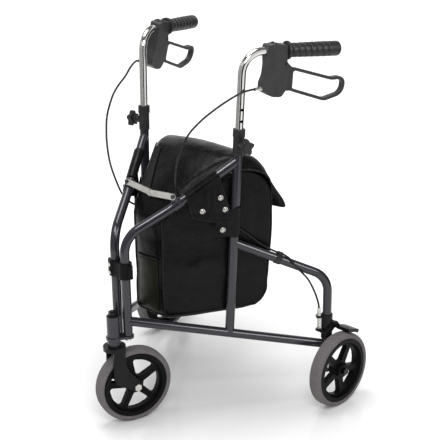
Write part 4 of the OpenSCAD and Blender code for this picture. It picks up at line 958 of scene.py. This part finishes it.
# %% Cable sheath and studs
sheath = surface(
    "black_cable_sheath", (0.010, 0.010, 0.011), 0.38,
    ((70, 3), shades((0.008, 0.008, 0.009), (0.013, 0.013, 0.014))), ((200, 3), 0.30, 0.46),
    [(cloudy, (500, 2), 0.08, 0.0003)], specular=0.3)
dress(sheath, cables.values())

nickel = surface(
    "nickel_stud", (0.46, 0.45, 0.42), 0.2, ((160, 4), shades((0.40, 0.39, 0.365), (0.52, 0.505, 0.475))),
    ((500, 4), 0.18, 0.34), metallic=1.0)
dress(nickel, studs["left"] + studs["right"])

# %% [markdown]
# The bag is a tight nylon weave with a coating on it. Two sets of fine waves cross for the threads, a slow
# cloudy pattern dulls some places, and a leathery pebble lets broad reflections break up as they do on
# coated cloth. The pocket is a slightly olive cloth painted several times paler than the bag, a painted
# sheen of light on the front panel, and tape and thread are duller. The strap is coarser webbing with ribs
# across it, which follow its own map from end to end.

# %% Bag cloth and webbing
bag_cloth = surface(
    "coated_bag_cloth", (0.0028, 0.0028, 0.0029), 0.32,
    ((18, 5), shades((0.0022, 0.0022, 0.0023), (0.0045, 0.0044, 0.0044))), ((38, 5), 0.22, 0.40),
    [(cloudy, (22, 3), 0.42, 0.006), (pebbled, (520, "SMOOTH_F1"), 0.22, 0.0008),
     (woven, (260, "Z"), 0.10, 0.0003), (woven, (260, "DIAGONAL"), 0.08, 0.0003)], specular=0.12)
dress(bag_cloth, [bag, lid] + [pair[0] for kind in (flaps, bands) for pair in kind.values()])

# The pocket gets a slightly olive cloth tone, painted several times paler than the bag as a painted sheen
# of light on the front panel.
pocket_painted_sheen = surface(
    "olive_pocket_painted_sheen", (0.010, 0.0105, 0.006), 0.42,
    ((24, 5), shades((0.008, 0.0085, 0.0045), (0.012, 0.0125, 0.007))), ((38, 5), 0.30, 0.50),
    [(cloudy, (30, 3), 0.30, 0.004), (woven, (260, "DIAGONAL"), 0.10, 0.0003)], specular=0.10)
dress(pocket_painted_sheen, [pocket])

tape = surface(
    "edge_tape", (0.008, 0.008, 0.0085), 0.55,
    ((120, 4), shades((0.006, 0.006, 0.0065), (0.012, 0.0115, 0.0115))),
    bumps=[(woven, (420, "DIAGONAL"), 0.25, 0.0004)], specular=0.2)
dress(tape, piping + [pocket_hem, lid_binding] + list(flap_hems.values()))

thread_black = surface(
    "sewing_thread", (0.016, 0.016, 0.0165), 0.5,
    ((600, 2), shades((0.012, 0.012, 0.0125), (0.022, 0.0215, 0.0215))),
    bumps=[(woven, (900, "DIAGONAL"), 0.3, 0.0003)], specular=0.2)
dress(thread_black, [lid_thread, pocket_thread, strap_thread] + list(flap_thread.values()))

webbing = surface(
    "strap_webbing", (0.008, 0.008, 0.0085), 0.6,
    ((90, 4), shades((0.006, 0.006, 0.0065), (0.011, 0.011, 0.0115))), specular=0.2)
tree = webbing.node_tree
flat_way = measured(tree, source="UV")
for scale, direction, strength, depth in ((14, "Y", 0.5, 0.0006), (6, "X", 0.35, 0.0005)):
    raised(tree, tree.nodes["Principled BSDF"], woven(tree, flat_way, scale, direction), strength, depth)
dress(webbing, [strap])
print("finishes:", len(bpy.data.materials))

# %% [markdown]
# The walker stands on a plain white floor in soft studio light. The world is white where the camera and the
# shiny pieces look at it, and dimmer as a light, so the shadow under the wheels stays. The floor also glows
# for the camera and for reflections, more the farther it lies from the walker: painted light that whitens
# the far floor and leaves the real shadow near the walker. A soft lamp from the upper front left is the
# main light, and another from above lights the lid. Two strip lamps draw the long highlights on the painted
# tubes and the grips. They act on those pieces and in reflections only, so the cloth stays dark.

# %% Floor and light
bpy.ops.mesh.primitive_plane_add(size=14)
floor = bpy.context.object
floor.name = "studio_floor"
bpy.ops.object.mode_set(mode="EDIT")
bpy.ops.mesh.subdivide(number_cuts=6)
bpy.ops.object.mode_set(mode="OBJECT")
floor_white, tree, shader = finish("floor_white", (0.93, 0.93, 0.93), 0.16, Specular_IOR_Level=0.3)
where = measured(tree)
tinted(tree, shader, cloudy(tree, where, 1.2, 3), [(0.3, (0.925, 0.925, 0.925)), (0.7, (0.94, 0.94, 0.94))])
shader.inputs["Emission Color"].default_value = (1, 1, 1, 1)
# Painted light: the floor glows for the camera and for reflections, from nothing 0.16 m from the middle up
# to 0.55 a metre out, so the far floor reads white while the real shadow near the walker stays.
reach = tree.nodes.new("ShaderNodeVectorMath")
reach.operation = "LENGTH"
tree.links.new(where, reach.inputs[0])
glow = tree.nodes.new("ShaderNodeMapRange")
glow.interpolation_type = "SMOOTHSTEP"
set_sockets(glow, From_Min=0.16, From_Max=1.0, To_Min=0.0, To_Max=0.55)
tree.links.new(reach.outputs["Value"], glow.inputs["Value"])


def seen_directly(tree):
    """One where the camera, a shiny piece or a clear piece looks straight at something, else nought."""
    path = tree.nodes.new("ShaderNodeLightPath").outputs
    most = reckon(tree, "MAXIMUM", path["Is Camera Ray"], path["Is Glossy Ray"])
    return reckon(tree, "MAXIMUM", most, path["Is Transmission Ray"])


shown = reckon(tree, "MULTIPLY", glow.outputs["Result"], seen_directly(tree))
tree.links.new(shown, shader.inputs["Emission Strength"])
dress(floor_white, [floor])
floor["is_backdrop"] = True

sky = bpy.data.worlds.new("studio_white")
sky.use_nodes = True
scene.world = sky
tree = sky.node_tree
strength = set_sockets(tree.nodes.new("ShaderNodeMapRange"), To_Min=0.50, To_Max=1.0)
tree.links.new(seen_directly(tree), strength.inputs["Value"])
tree.links.new(strength.outputs["Result"], tree.nodes["Background"].inputs["Strength"])
tree.nodes["Background"].inputs["Color"].default_value = (1, 1, 1, 1)


def soft_lamp(name, place, target, size, power):
    bpy.ops.object.light_add(type="AREA", location=place)
    lamp = bpy.context.object
    lamp.name = name
    lamp.data.size = size
    lamp.data.energy = power
    lamp.rotation_euler = (Vector(place) - Vector(target)).to_track_quat("Z", "Y").to_euler()
    return lamp


soft_lamp("key_softbox", (2.0, -1.6, 2.6), (0, 0, 0.45), 1.1, 42)
soft_lamp("top_softbox", (-0.28, -0.15, 2.8), (0, 0, 0.5), 1.2, 36)
tubes = bpy.data.collections.new("lit_by_strips")
for piece in [nodes[name] for name in PAINTED] + list(grips.values()):
    tubes.objects.link(piece)
for name, place, wide, tall, power in (("front_strip", (0.30, -1.75, 2.8), 1.4, 0.9, 58),
                                       ("side_strip", (2.6, 0.35, 1.85), 1.7, 1.0, 50)):
    strip = soft_lamp(name, place, (0, 0, 0.4), wide, power)
    strip.data.shape = "RECTANGLE"
    strip.data.size_y = tall
    strip.visible_diffuse = False
    strip.light_linking.receiver_collection = tubes

# %% [markdown]
# Plated tubes in an all white room have no shape, so a studio stands cards just outside the picture for
# them to mirror: dark ones by the camera and on the right, and a grey one on the left. They are curved
# walls about the walker, and a fourth card is a bowed grey roof. Only mirrored rays see them, so they leave
# the floor, the shadows and every other view clear.

# %% Cards
CARD_FAR, CARD_LOW, CARD_HIGH = 1.7, 0.02, 1.6
ROOF_WIDE, ROOF_HIGH, ROOF_BOW = 6, 3.6, 0.5


def felt_card(card, shade):
    """Cover a card with felt and let only reflections see it."""
    stops = shades([shade * 0.9] * 3, [shade * 1.1] * 3)
    dress(surface(card.name + "_felt", (shade, shade, shade), 0.9, ((3, 2), stops)), [card])
    card.visible_camera = card.visible_diffuse = card.visible_shadow = card.visible_transmission = False
    card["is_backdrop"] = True


def standing_card(name, start, stop, shade):
    """Curved wall between two compass angles, in degrees from the X axis."""
    def at(a, b):
        turn_by = math.radians(start + (stop - start) * a)
        return Vector((CARD_FAR * math.cos(turn_by), CARD_FAR * math.sin(turn_by),
                       CARD_LOW + (CARD_HIGH - CARD_LOW) * b))

    felt_card(draped(name, 24, 4, at), shade)


def roof_at(a, b):
    return Vector((ROOF_WIDE * a - 3, ROOF_WIDE * b - 3, ROOF_HIGH - ROOF_BOW * (2 * a - 1) ** 2))


standing_card("camera_card", -58, -20, 0.01)
standing_card("right_card", 30, 100, 0.06)
standing_card("left_card", -176, -66, 0.50)
felt_card(draped("roof_card", 12, 12, roof_at), 0.30)
print("cards: 4")

# %% [markdown]
# Last, the size of the dressed walker is printed. Cloth may stand a little proud of the part's own
# box.

# %% Size
bpy.context.view_layer.update()
low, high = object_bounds()
print("visual box:", [round(v, 4) for v in low], [round(v, 4) for v in high])
